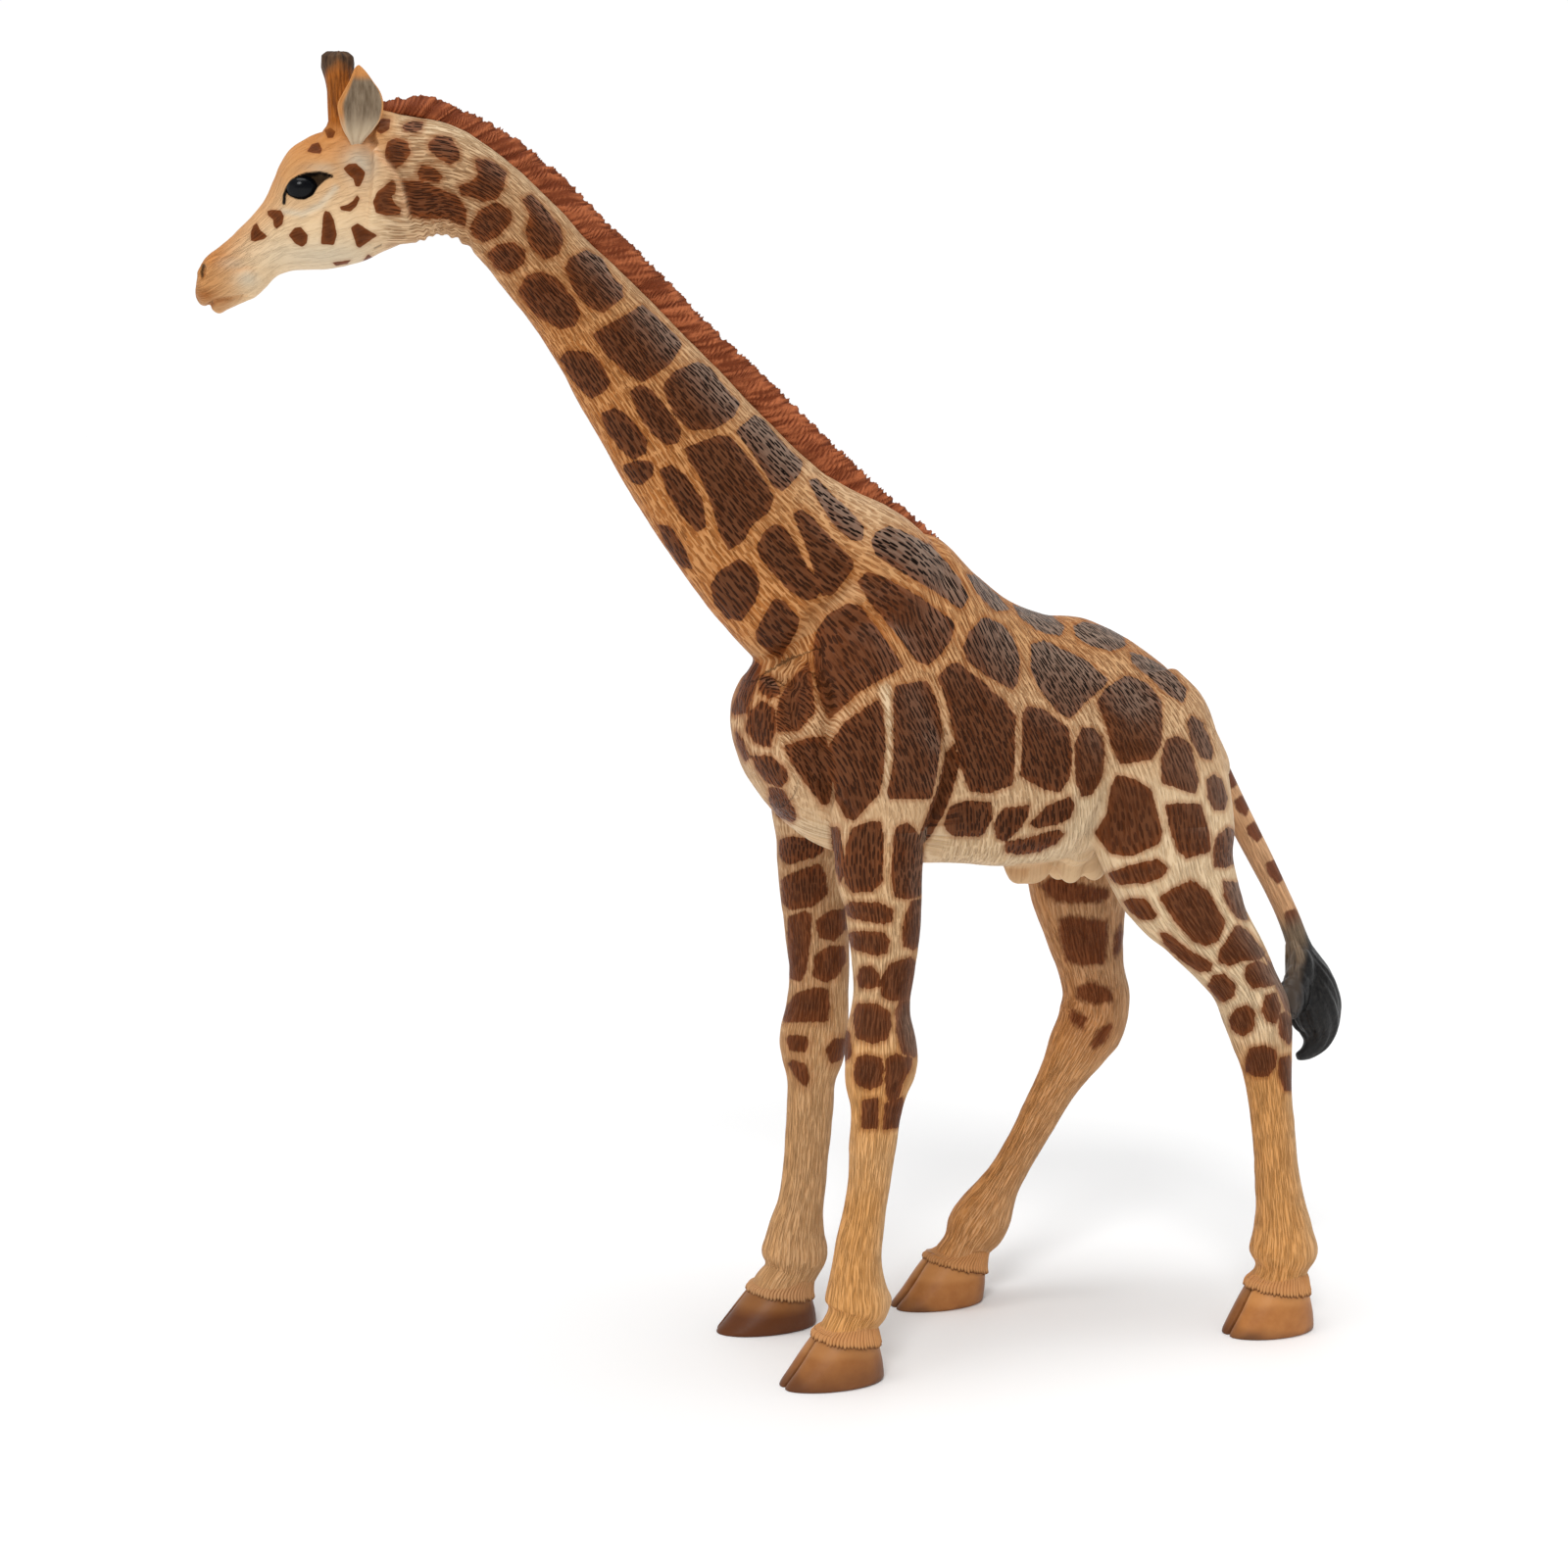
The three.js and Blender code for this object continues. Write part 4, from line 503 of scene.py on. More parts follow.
# ---------------------------------------------------------------- meshes
def new_object(name, V, F):
    me = bpy.data.meshes.new(name)
    me.from_pydata(V.tolist(), [], F)
    me.update()
    ob = bpy.data.objects.new(name, me)
    scene.collection.objects.link(ob)
    return ob


def evaluated(ob):
    """The object's mesh with its modifiers applied."""
    dg = bpy.context.evaluated_depsgraph_get()
    me = bpy.data.meshes.new_from_object(ob.evaluated_get(dg), preserve_all_data_layers=True, depsgraph=dg)
    old = ob.data
    ob.modifiers.clear()
    ob.data = me
    bpy.data.meshes.remove(old)
    return ob


def positions(me):
    a = np.empty(len(me.vertices) * 3, np.float32)
    me.vertices.foreach_get("co", a)
    return a.reshape(-1, 3).astype(float)


def set_positions(me, V):
    me.vertices.foreach_set("co", V.astype(np.float32).ravel())
    me.update()


def normals(me):
    a = np.empty(len(me.vertices) * 3, np.float32)
    me.vertex_normals.foreach_get("vector", a)
    return a.reshape(-1, 3).astype(float)


def edge_list(me):
    a = np.empty(len(me.edges) * 2, np.int32)
    me.edges.foreach_get("vertices", a)
    return a.reshape(-1, 2)


class Net:
    """Averages over a mesh's neighbouring vertices."""

    def __init__(self, me):
        self.e, self.n = edge_list(me), len(me.vertices)
        self.deg = np.maximum(np.bincount(self.e.ravel(), minlength=self.n), 1).astype(float)

    def mean(self, X):
        if X.ndim == 1:
            return (np.bincount(self.e[:, 0], X[self.e[:, 1]], self.n) + np.bincount(self.e[:, 1], X[self.e[:, 0]], self.n)) / self.deg
        return np.stack([self.mean(X[:, k]) for k in range(X.shape[1])], -1)


def remeshed(name, parts, voxel):
    ob = new_object(name, *joined(parts))
    mod = ob.modifiers.new("skin", "REMESH")
    mod.mode, mod.voxel_size, mod.adaptivity = "VOXEL", voxel, 0.0
    return evaluated(ob)


def relax(ob, times, voxel, blend=60):
    """Evens the skin, and rounds the inner corners where two forms meet."""
    me, net = ob.data, Net(ob.data)
    V = positions(me)
    for _ in range(times):
        V += 0.5 * (net.mean(V) - V)
    scale = (0.32 / voxel) ** 2
    for _ in range(2):
        set_positions(me, V)
        N = normals(me)
        w = np.maximum(np.einsum("ij,ij->i", net.mean(V) - V, N) / voxel - 0.045 * voxel / 0.32, 0)
        for _ in range(max(3, int(30 * scale))):
            w = np.maximum(w * 0.5, net.mean(w))
        w = np.clip(w * 10, 0, 1)
        for _ in range(max(2, int(14 * scale))):
            w = net.mean(w)
        for _ in range(max(6, int(blend * scale))):
            V += 0.5 * w[:, None] * (net.mean(V) - V)
    set_positions(me, V)
    return net


def box_cutter(low, high):
    (x0, y0, z0), (x1, y1, z1) = low, high
    V = np.array([[x, y, z] for x in (x0, x1) for y in (y0, y1) for z in (z0, z1)], float)
    F = [[0, 1, 3, 2], [4, 6, 7, 5], [0, 4, 5, 1], [2, 3, 7, 6], [0, 2, 6, 4], [1, 5, 7, 3]]
    return new_object("cutter", V, F)


def side_cutter(at, direction, size=400.0):
    """A block that fills the side of a plane that direction points to."""
    ob = box_cutter((-size, -size, 0), (size, size, 2 * size))
    q = Vector(direction).to_track_quat("Z", "Y").to_matrix()
    V = positions(ob.data) @ np.array(q).T + at
    set_positions(ob.data, V)
    return ob


def cut(ob, cutter, operation, name):
    """A new object: ob with the cutter's volume taken away, or only what is in it."""
    out = bpy.data.objects.new(name, ob.data.copy())
    scene.collection.objects.link(out)
    mod = out.modifiers.new("cut", "BOOLEAN")
    mod.operation, mod.object, mod.solver = operation, cutter, "MANIFOLD"
    return evaluated(out)


def drop(*objects):
    for ob in objects:
        me = ob.data
        bpy.data.objects.remove(ob)
        bpy.data.meshes.remove(me)


def attribute(me, name, values):
    kind = "FLOAT" if values.ndim == 1 else "FLOAT_VECTOR"
    a = me.attributes.get(name) or me.attributes.new(name, kind, "POINT")
    a.data.foreach_set("value" if values.ndim == 1 else "vector", values.astype(np.float32).ravel())


def finished(ob, name, nodes, material, sharp_planes=()):
    """Puts a piece made in working millimetres into the part's frame, and hands it over."""
    me = ob.data
    V = positions(me)
    me.polygons.foreach_set("use_smooth", np.ones(len(me.polygons), bool))
    if len(sharp_planes):
        E = edge_list(me)
        sharp = np.zeros(len(E), bool)
        for at, d in sharp_planes:
            on = np.abs((V - at) @ d) < 2e-3
            sharp |= on[E].all(1)
        a = me.attributes.get("sharp_edge") or me.attributes.new("sharp_edge", "BOOLEAN", "EDGE")
        a.data.foreach_set("value", sharp)
    set_positions(me, (V - ORIGIN) * 0.001)
    me.materials.clear()
    me.materials.append(material)
    ob.name = me.name = name
    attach(ob, "root")
    if nodes:
        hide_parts(*nodes)
    return ob


# ---------------------------------------------------------------- camera, floor, light
camera = bpy.data.objects.new("camera", bpy.data.cameras.new("camera"))
scene.collection.objects.link(camera)
scene.camera = camera
yaw, pitch = 1.1460758, -0.1260853
look = Vector((math.cos(yaw) * math.cos(pitch), math.sin(yaw) * math.cos(pitch), math.sin(pitch)))
camera.location = Vector((EYE_POINT - ORIGIN) * 0.001)
camera.rotation_mode = "QUATERNION"
camera.rotation_quaternion = look.to_track_quat("-Z", "Y")
camera.data.sensor_width, camera.data.lens = 36.0, 65.86
camera.data.clip_start, camera.data.clip_end = 0.02, 60.0

floor = bpy.data.objects.new("floor", bpy.data.meshes.new("floor"))
floor.data.from_pydata([(-26, -26, 0), (26, -26, 0), (26, 26, 0), (-26, 26, 0)], [], [(0, 1, 2, 3)])
scene.collection.objects.link(floor)
floor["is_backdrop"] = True


def sun(name, toward, strength, angle):
    light = bpy.data.lights.new(name, "SUN")
    light.energy, light.angle = strength, math.radians(angle)
    ob = bpy.data.objects.new(name, light)
    ob.rotation_euler = Vector(toward).to_track_quat("-Z", "Y").to_euler()
    scene.collection.objects.link(ob)


# soft light from above and from the front left, in a pale room that is brightest near the floor
sun("top", (0.05, 0.10, -1.0), 1.5, 40)
sun("key", (0.50, 0.75, -0.80), 1.15, 16)
world = bpy.data.worlds.new("studio")
scene.world = world
world.use_nodes = True
tree = world.node_tree
sky = tree.nodes["Background"]
sky.inputs["Color"].default_value = (1.0, 1.0, 1.0, 1.0)
where = tree.nodes.new("ShaderNodeTexCoord")
apart = tree.nodes.new("ShaderNodeSeparateXYZ")
tree.links.new(where.outputs["Generated"], apart.inputs[0])
glow = []
for axis, limits in (("Z", (0.24, 0.62, 1.02, 0.42)), ("Y", (-0.8, -0.25, 0.34, 1.0)), ("Z", (0.09, 0.17, 1.0, 0.0))):
    fade = tree.nodes.new("ShaderNodeMapRange")
    fade.interpolation_type = "SMOOTHSTEP"
    for k, v in enumerate(limits):
        fade.inputs[k + 1].default_value = v
    tree.links.new(apart.outputs[axis], fade.inputs[0])
    glow.append(fade.outputs[0])
rim = tree.nodes.new("ShaderNodeMath")
rim.operation = "MAXIMUM"
tree.links.new(glow[1], rim.inputs[0])
tree.links.new(glow[2], rim.inputs[1])
times = tree.nodes.new("ShaderNodeMath")
times.operation = "MULTIPLY"
tree.links.new(glow[0], times.inputs[0])
tree.links.new(rim.outputs[0], times.inputs[1])
tree.links.new(times.outputs[0], sky.inputs["Strength"])
scene.view_settings.view_transform = "Standard"

# ---------------------------------------------------------------- materials
def linear(r, g, b):
    """Linear colour of a paint given in the 0 to 255 of a paint chart."""
    f = lambda v: v / 12.92 if v <= 0.04045 else ((v + 0.055) / 1.055) ** 2.4
    return (f(r / 255), f(g / 255), f(b / 255), 1.0)


class Shader:
    def __init__(self, name, roughness=0.5):
        self.mat = bpy.data.materials.new(name)
        self.mat.use_nodes = True
        self.t = self.mat.node_tree
        self.t.nodes.clear()
        self.out = self.t.nodes.new("ShaderNodeOutputMaterial")
        self.bsdf = self.t.nodes.new("ShaderNodeBsdfPrincipled")
        self.t.links.new(self.bsdf.outputs[0], self.out.inputs[0])
        self.bsdf.inputs["Roughness"].default_value = roughness

    def put(self, socket, value):
        if isinstance(value, bpy.types.NodeSocket):
            self.t.links.new(value, socket)
        else:
            socket.default_value = value

    def node(self, kind, **settings):
        n = self.t.nodes.new("ShaderNode" + kind)
        for k, v in settings.items():
            setattr(n, k, v)
        return n

    def attr(self, name, vector=False):
        return self.node("Attribute", attribute_name=name).outputs["Vector" if vector else "Fac"]

    def math(self, operation, a, b=0.0, clamp=False):
        n = self.node("Math", operation=operation, use_clamp=clamp)
        self.put(n.inputs[0], a)
        self.put(n.inputs[1], b)
        return n.outputs[0]

    def vec(self, operation, a, b=(0, 0, 0), scale=None):
        n = self.node("VectorMath", operation=operation)
        self.put(n.inputs[0], a)
        if scale is None:
            self.put(n.inputs[1], b)
        else:
            self.put(n.inputs["Scale"], scale)
        return n.outputs[0]

    def step(self, x, low, high, to_low=0.0, to_high=1.0):
        n = self.node("MapRange", interpolation_type="SMOOTHSTEP")
        for i, v in enumerate((x, low, high, to_low, to_high)):
            self.put(n.inputs[i], v)
        return n.outputs[0]

    def mix(self, fac, a, b, blend="MIX"):
        n = self.node("Mix", data_type="RGBA", blend_type=blend)
        self.put(n.inputs[0], fac)
        self.put(n.inputs[6], a)
        self.put(n.inputs[7], b)
        return n.outputs[2]

    def blend(self, fac, a, b):
        n = self.node("Mix", data_type="FLOAT")
        self.put(n.inputs[0], fac)
        self.put(n.inputs[2], a)
        self.put(n.inputs[3], b)
        return n.outputs[0]

    def noise(self, vector, scale, detail=2.0, rough=0.5, color=False):
        n = self.node("TexNoise", noise_dimensions="3D")
        self.put(n.inputs["Vector"], vector)
        n.inputs["Scale"].default_value = scale
        n.inputs["Detail"].default_value = detail
        n.inputs["Roughness"].default_value = rough
        return n.outputs["Color" if color else "Fac"]

    def cells(self, vector, stretch):
        """Distance to the nearest of many scattered points, in a plane stretched along its second axis."""
        n = self.node("TexVoronoi", feature="F1", voronoi_dimensions="2D")
        self.put(n.inputs["Vector"], vector)
        n.inputs["Scale"].default_value = 1.0
        n.inputs["Randomness"].default_value = 0.82
        away = self.vec("MULTIPLY", self.vec("SUBTRACT", vector, n.outputs["Position"]), (1.0, 1.0 / stretch, 0.0))
        length = self.node("VectorMath", operation="LENGTH")
        self.put(length.inputs[0], away)
        return length.outputs["Value"]

    def bump(self, height, distance, normal=None):
        n = self.node("Bump")
        n.inputs["Strength"].default_value = 1.0
        n.inputs["Distance"].default_value = distance
        self.put(n.inputs["Height"], height)
        if normal is not None:
            self.put(n.inputs["Normal"], normal)
        return n.outputs[0]

    def set(self, **sockets):
        for k, v in sockets.items():
            self.put(self.bsdf.inputs[k.replace("_", " ")], v)
        return self.mat


def strokes(s, flow):
    """Heights, 0 to 1, of the sculpted hair: short narrow slits, and fine combed strands.

    One unit of flow is one slit's pitch across the hair, and one slit's length along it.
    """
    wobble = s.vec("SCALE", s.vec("SUBTRACT", s.noise(flow, 0.33, 1.0, color=True), (0.5, 0.5, 0.5)), scale=0.5)
    f = s.vec("ADD", flow, wobble)
    slit = s.step(s.cells(f, 2.2), 0.15, 0.27)
    strand = s.step(s.noise(s.vec("MULTIPLY", f, (2.1, 0.3, 1.0)), 1.0, 2.0, 0.6), 0.34, 0.54)
    return slit, strand


def coat_material(name, depth=0.3):
    s = Shader(name)
    fa, fb, m = s.attr("flow_a", True), s.attr("flow_b", True), s.attr("flow_mix")
    (slit_a, strand_a), (slit_b, strand_b) = strokes(s, fa), strokes(s, fb)
    cuts, strand = s.blend(m, slit_a, slit_b), s.blend(m, strand_a, strand_b)
    share = s.math("MULTIPLY", s.attr("cut"), 0.62)
    h = s.blend(share, strand, cuts)
    carved = s.attr("relief")
    ragged = s.blend(m, s.noise(fa, 1.1, 2.0, 0.6), s.noise(fb, 1.1, 2.0, 0.6))
    coat = s.math("ADD", s.attr("coat"), s.math("MULTIPLY", s.math("SUBTRACT", ragged, 0.5), s.attr("ragged")))
    mask = s.step(coat, -0.12, 0.1, 1.0, 0.0)
    broad = s.noise(s.attr("place", True), 0.09, 2.0)
    slit = s.math("MULTIPLY", s.step(cuts, 0.15, 0.85, 1.0, 0.0), s.attr("cut"))
    groove = s.math("MULTIPLY", s.math("SUBTRACT", 1.0, strand), carved)
    crest_highlight = s.math("MULTIPLY", s.math("MULTIPLY", s.step(strand, 0.45, 1.0), s.step(cuts, 0.3, 0.9)), carved)
    # base coat: tan, cream where the paint thins, brown wash lying in the slits and deepened there into painted shade,
    # and painted highlights on the crests between them
    tan = s.mix(broad, linear(170, 110, 60), linear(192, 136, 82))
    base = s.mix(s.attr("cream"), tan, linear(220, 190, 150))
    base = s.mix(s.attr("orange"), base, linear(190, 116, 52))
    base = s.mix(s.attr("milk"), base, linear(236, 212, 176))
    base = s.mix(s.attr("glow"), base, linear(240, 176, 98))
    base = s.mix(s.attr("painted_shade"), base, linear(192, 148, 104))
    base = s.mix(s.attr("ash"), base, linear(196, 188, 168))
    base = s.mix(s.attr("umber"), base, linear(150, 84, 34))
    lit = s.mix(s.attr("cream"), linear(222, 170, 112), linear(230, 208, 178))
    base = s.mix(s.math("MULTIPLY", crest_highlight, s.math("ADD", 0.1, s.math("MULTIPLY", s.attr("washed"), 0.3))), base, lit)
    wash = s.mix(s.attr("cream"), linear(128, 68, 26), linear(166, 118, 76))
    base = s.mix(s.math("MULTIPLY", s.math("ADD", s.math("MULTIPLY", slit, 0.55), s.math("MULTIPLY", groove, 0.45), clamp=True), s.attr("washed")), base, wash)
    halo = s.math("MULTIPLY", s.step(coat, 0.05, 0.9, 1.0, 0.0), s.math("ADD", s.math("MULTIPLY", s.attr("ragged"), 0.5), s.math("MULTIPLY", s.attr("warm"), 0.25)))
    base = s.mix(halo, base, linear(148, 80, 30))
    # patches: chocolate inside, red brown towards the sprayed edge, a painted grey sheen on top of the strokes where
    # the skin faces up, painted highlights on their crests, and slits painted near black, a dark wash deepened into
    # painted shade
    red = s.mix(s.attr("warm"), linear(106, 51, 13), linear(134, 64, 14))
    deep = s.mix(s.attr("warm"), linear(86, 40, 8), linear(100, 46, 9))
    patch = s.mix(s.step(s.math("ADD", coat, s.math("MULTIPLY", broad, 0.8)), -1.2, 0.6), deep, red)
    patch = s.mix(s.math("MULTIPLY", crest_highlight, 0.12), patch, linear(150, 98, 58))
    patch = s.mix(s.math("MULTIPLY", s.attr("painted_sheen"), s.math("ADD", 0.5, s.math("MULTIPLY", strand, 0.48))), patch, linear(146, 126, 111))
    patch = s.mix(s.math("MULTIPLY", slit, s.math("ADD", 0.56, s.attr("painted_sheen"), clamp=True)), patch, linear(20, 10, 5))
    patch = s.mix(s.math("MULTIPLY", groove, 0.1), patch, linear(38, 18, 7))
    color = s.mix(mask, base, patch)
    color = s.mix(s.attr("soot"), color, linear(84, 64, 46))
    color = s.mix(s.attr("ridge"), color, s.mix(strand, linear(204, 150, 104), linear(232, 188, 146)))
    fiber = s.step(s.noise(s.vec("MULTIPLY", fa, (1.1, 0.3, 1.0)), 1.0, 3.0, 0.6), 0.3, 0.7)
    color = s.mix(s.attr("horny"), color, s.mix(fiber, linear(114, 60, 18), linear(176, 102, 38)))
    # painted shade: the creases are darkened brown by how hollow the skin is
    hollow = s.math("MULTIPLY", s.step(s.attr("cavity"), 0.05, 0.6), s.math("SUBTRACT", 0.42, s.math("MULTIPLY", s.attr("cream"), 0.24)))
    color = s.mix(hollow, color, linear(92, 50, 22))
    color = s.mix(s.attr("ink"), color, linear(14, 9, 7))
    rough = s.math("ADD", s.blend(mask, 0.46, 0.36), s.math("MULTIPLY", s.math("SUBTRACT", s.noise(s.attr("place", True), 0.8), 0.5), 0.16))
    s.set(Base_Color=color, Roughness=rough, Normal=s.bump(s.math("MULTIPLY", h, carved), depth * 0.001))
    s.bsdf.inputs["Specular IOR Level"].default_value = 0.05
    return s.mat


# ---------------------------------------------------------------- the skin of the body
def path_loft(rows, n, sides, power, skew=0.0, start=0):
    r = resample(rows, n)
    T, S, N = frames(r[:, :3])
    return skin(rings(r[:, :3], S, N, r[:, 3], r[:, 4], sides, power, skew))


def trunk_loft():
    r = resample(TRUNK, 150)
    P = np.stack([r[:, 0], 0 * r[:, 0], (r[:, 1] + r[:, 2]) / 2], -1)
    one = np.ones((len(r), 1))
    return skin(rings(P, one * XYZ[1], one * XYZ[2], (r[:, 1] - r[:, 2]) / 2, r[:, 3], 120, 2.15, 0.08))


def head_loft():
    r = resample(HEAD, 150)
    P = head_point(r[:, 0], 0, (r[:, 1] + r[:, 2]) / 2)
    one = np.ones((len(r), 1))
    return skin(rings(P, -one * HEAD_SIDE, one * UP, (r[:, 1] - r[:, 2]) / 2, r[:, 3], 110, 2.2, 0.06))


HEAD_AXES = [HEAD_DIR, HEAD_SIDE, UP]




def pinched(rows, top):
    """Leg rows with a fuller fetlock over a slimmer pastern, above a coronet at height top."""
    r = resample(rows, 160)
    f = 1 - 0.15 * np.exp(-(((r[:, 2] - top - 2.7) / 1.5) ** 2)) + 0.04 * np.exp(-(((r[:, 2] - top - 6.4) / 2.0) ** 2))
    r[:, 3:] *= f[:, None]
    return r


legs = {"foreleg_left": FORE_LEFT, "foreleg_right": FORE_RIGHT, "hindleg_left": HIND_LEFT, "hindleg_right": HIND_RIGHT}
legs = {name: pinched(rows, HOOVES[name]["top"]) for name, rows in legs.items()}
neck = path_loft(NECK, 150, 110, 2.1, 0.12)
parts = [trunk_loft(), neck, head_loft()]
parts += [path_loft(rows, 130, 72, 2.1) for rows in legs.values()]
parts += [ellipsoid(at, XYZ, r) for at, r in UNDERSIDE]
for name, rows in legs.items():
    at = rows[np.abs(rows[:, 2] - HOOVES[name]["top"] - 5.2).argmin()]
    parts.append(ellipsoid((at[0] + 0.58 * at[3], at[1], at[2]), XYZ, (2.5, 3.3, 2.2)))
dock = resample(TAIL, 200)
dock = dock[dock[:, 2] > 89.5]
dock[:, 3:] += np.interp(dock[:, 2], [89.5, 91.0, 94.0, 96.5, 99.0], [-0.6, -0.15, 0.35, 0.8, 1.0])[:, None]
parts.append(path_loft(dock, 40, 48, 2.0))
body = remeshed("body", parts, VOXEL)
relax(body, 3, VOXEL)


def curl(ob, fields):
    """Moves the skin along its normals by the sum of the fields."""
    V, N = positions(ob.data), normals(ob.data)
    move = np.zeros(len(V))
    for f in fields:
        move += f(V, N)
    set_positions(ob.data, V + move[:, None] * N)


def fold(line, width, depth, least):
    def f(V, N):
        d, t = line_distance(V[:, [0, 2]], line)
        ends = smoothstep(0, 0.14, t) * smoothstep(1, 0.86, t) * 0.85 + 0.15 * (d < width)
        side = smoothstep(least - 1.5, least + 0.5, np.abs(V[:, 1])) if least > 0 else 1.0
        return depth * np.exp(-((d / width) ** 2)) * ends * side * smoothstep(0.05, 0.45, np.abs(N[:, 1]))
    return f


def bulge(center, radii, height, mirror=True):
    c, r = np.array(center, float), np.array(radii, float)

    def f(V, N):
        out = np.exp(-(((V - c) / r) ** 2).sum(1)) * height
        if mirror:
            out = out + np.exp(-(((V - c * [1, -1, 1]) / r) ** 2).sum(1)) * height
        return out
    return f


def grain(scale, height, seed):
    return lambda V, N: (value_noise(V, scale, seed) - 0.5) * 2 * height


def cheek(line, width, depth, least=1.5, shift=0.0, back=0.0):
    def f(V, N):
        u, s, z = head_coords(V)
        d, t = line_distance(np.stack([u + back, z + shift], -1), line)
        return depth * np.exp(-((d / width) ** 2)) * smoothstep(least - 0.6, least + 0.6, np.abs(s)) * (smoothstep(0, 0.1, t) * smoothstep(1, 0.9, t) * 0.8 + 0.2)
    return f


def throat(V, N):
    """Small wrinkles across the throat, where the head is held down."""
    u, s, z = head_coords(V)
    near = smoothstep(7.2, 5.8, u) * smoothstep(-3.0, -1.0, u) * smoothstep(179.0, 176.8, z) * smoothstep(169.0, 171.0, z)
    return 0.3 * np.cos(2 * math.pi * (u - 0.35 * (z - 175)) / 1.4) * near


behind_jaw = [cheek(JAW_BACK, 0.5, -0.85, 2.0, 0.0, 0.5), cheek(JAW_BACK, 0.6, 0.45, 2.0, 0.0, -0.4)]
curl(body, [fold(*f) for f in FOLDS] + behind_jaw + [throat, grain(0.22, 0.16, 3), grain(0.6, 0.05, 4)])
net = Net(body.data)
V = positions(body.data)
for _ in range(3):
    V += 0.5 * (net.mean(V) - V)
set_positions(body.data, V)


def cavity_of(ob, voxel):
    """How hollow the skin is, over about a millimetre; above zero in a fold."""
    V, N, net = positions(ob.data), normals(ob.data), Net(ob.data)
    c = np.einsum("ij,ij->i", net.mean(V) - V, N) / voxel**2
    for _ in range(int(10 * (0.32 / voxel) ** 2) + 1):
        c = net.mean(c)
    return c


middle = V[(np.abs(V[:, 1]) < 0.8) & (V[:, 2] > 110)]
back_top = lambda x: middle[np.abs(middle[:, 0] - x) < 0.5, 2].max()
cavity = cavity_of(body, VOXEL)
tree = KDTree(len(V))
for i, p in enumerate(positions(body.data)):
    tree.insert(p, i)
tree.balance()


# ---------------------------------------------------------------- marks and hair directions
def on_path(V, rows, radius=6.5, n=360):
    """Across and along coordinates of the hair of a limb, the same on both its sides."""
    r = resample(rows, n)
    P = r[:, :3]
    T, S, N = frames(P)
    arc = np.r_[0, np.cumsum(np.linalg.norm(np.diff(P, axis=0), axis=1))]
    out = np.zeros((len(V), 3))
    for i in range(0, len(V), 20000):
        v = V[i:i + 20000]
        k = ((v**2).sum(1)[:, None] - 2 * v @ P.T + (P**2).sum(1)).argmin(1)
        d = v - P[k]
        turn = np.arctan2(np.abs(np.einsum("ij,ij->i", d, S[k])), np.einsum("ij,ij->i", d, N[k]))
        out[i:i + 20000, 0] = turn * radius / PITCH
        out[i:i + 20000, 1] = (arc[k] + np.einsum("ij,ij->i", d, T[k])) / (PITCH * STROKE)
    return out


def trunk_flow(V):
    """Hair of the trunk runs down the flank and backward."""
    y, z = V[:, 1], V[:, 2] - 100.0
    g = 18.0 * np.arctan2(np.abs(y), z)
    lean = 0.55 * g - 0.30 * 8 * np.log1p(np.exp((g - 32) / 8))
    return np.stack([(V[:, 0] - lean) / PITCH, g / (PITCH * STROKE), 0 * y], -1)


def head_flow(V):
    u, s, z = head_coords(V)
    mid = np.interp(u, [5, 15, 25, 38], [182, 180, 176, 167])
    turn = np.arctan2(np.abs(s), z - mid)
    return np.stack([turn * 6.0 / PITCH, (u - 0.2 * z) / (PITCH * 1.7), 0 * u], -1)


def neck_depth(V):
    return (V - NECK_SEAM_AT) @ NECK_SEAM_DIR


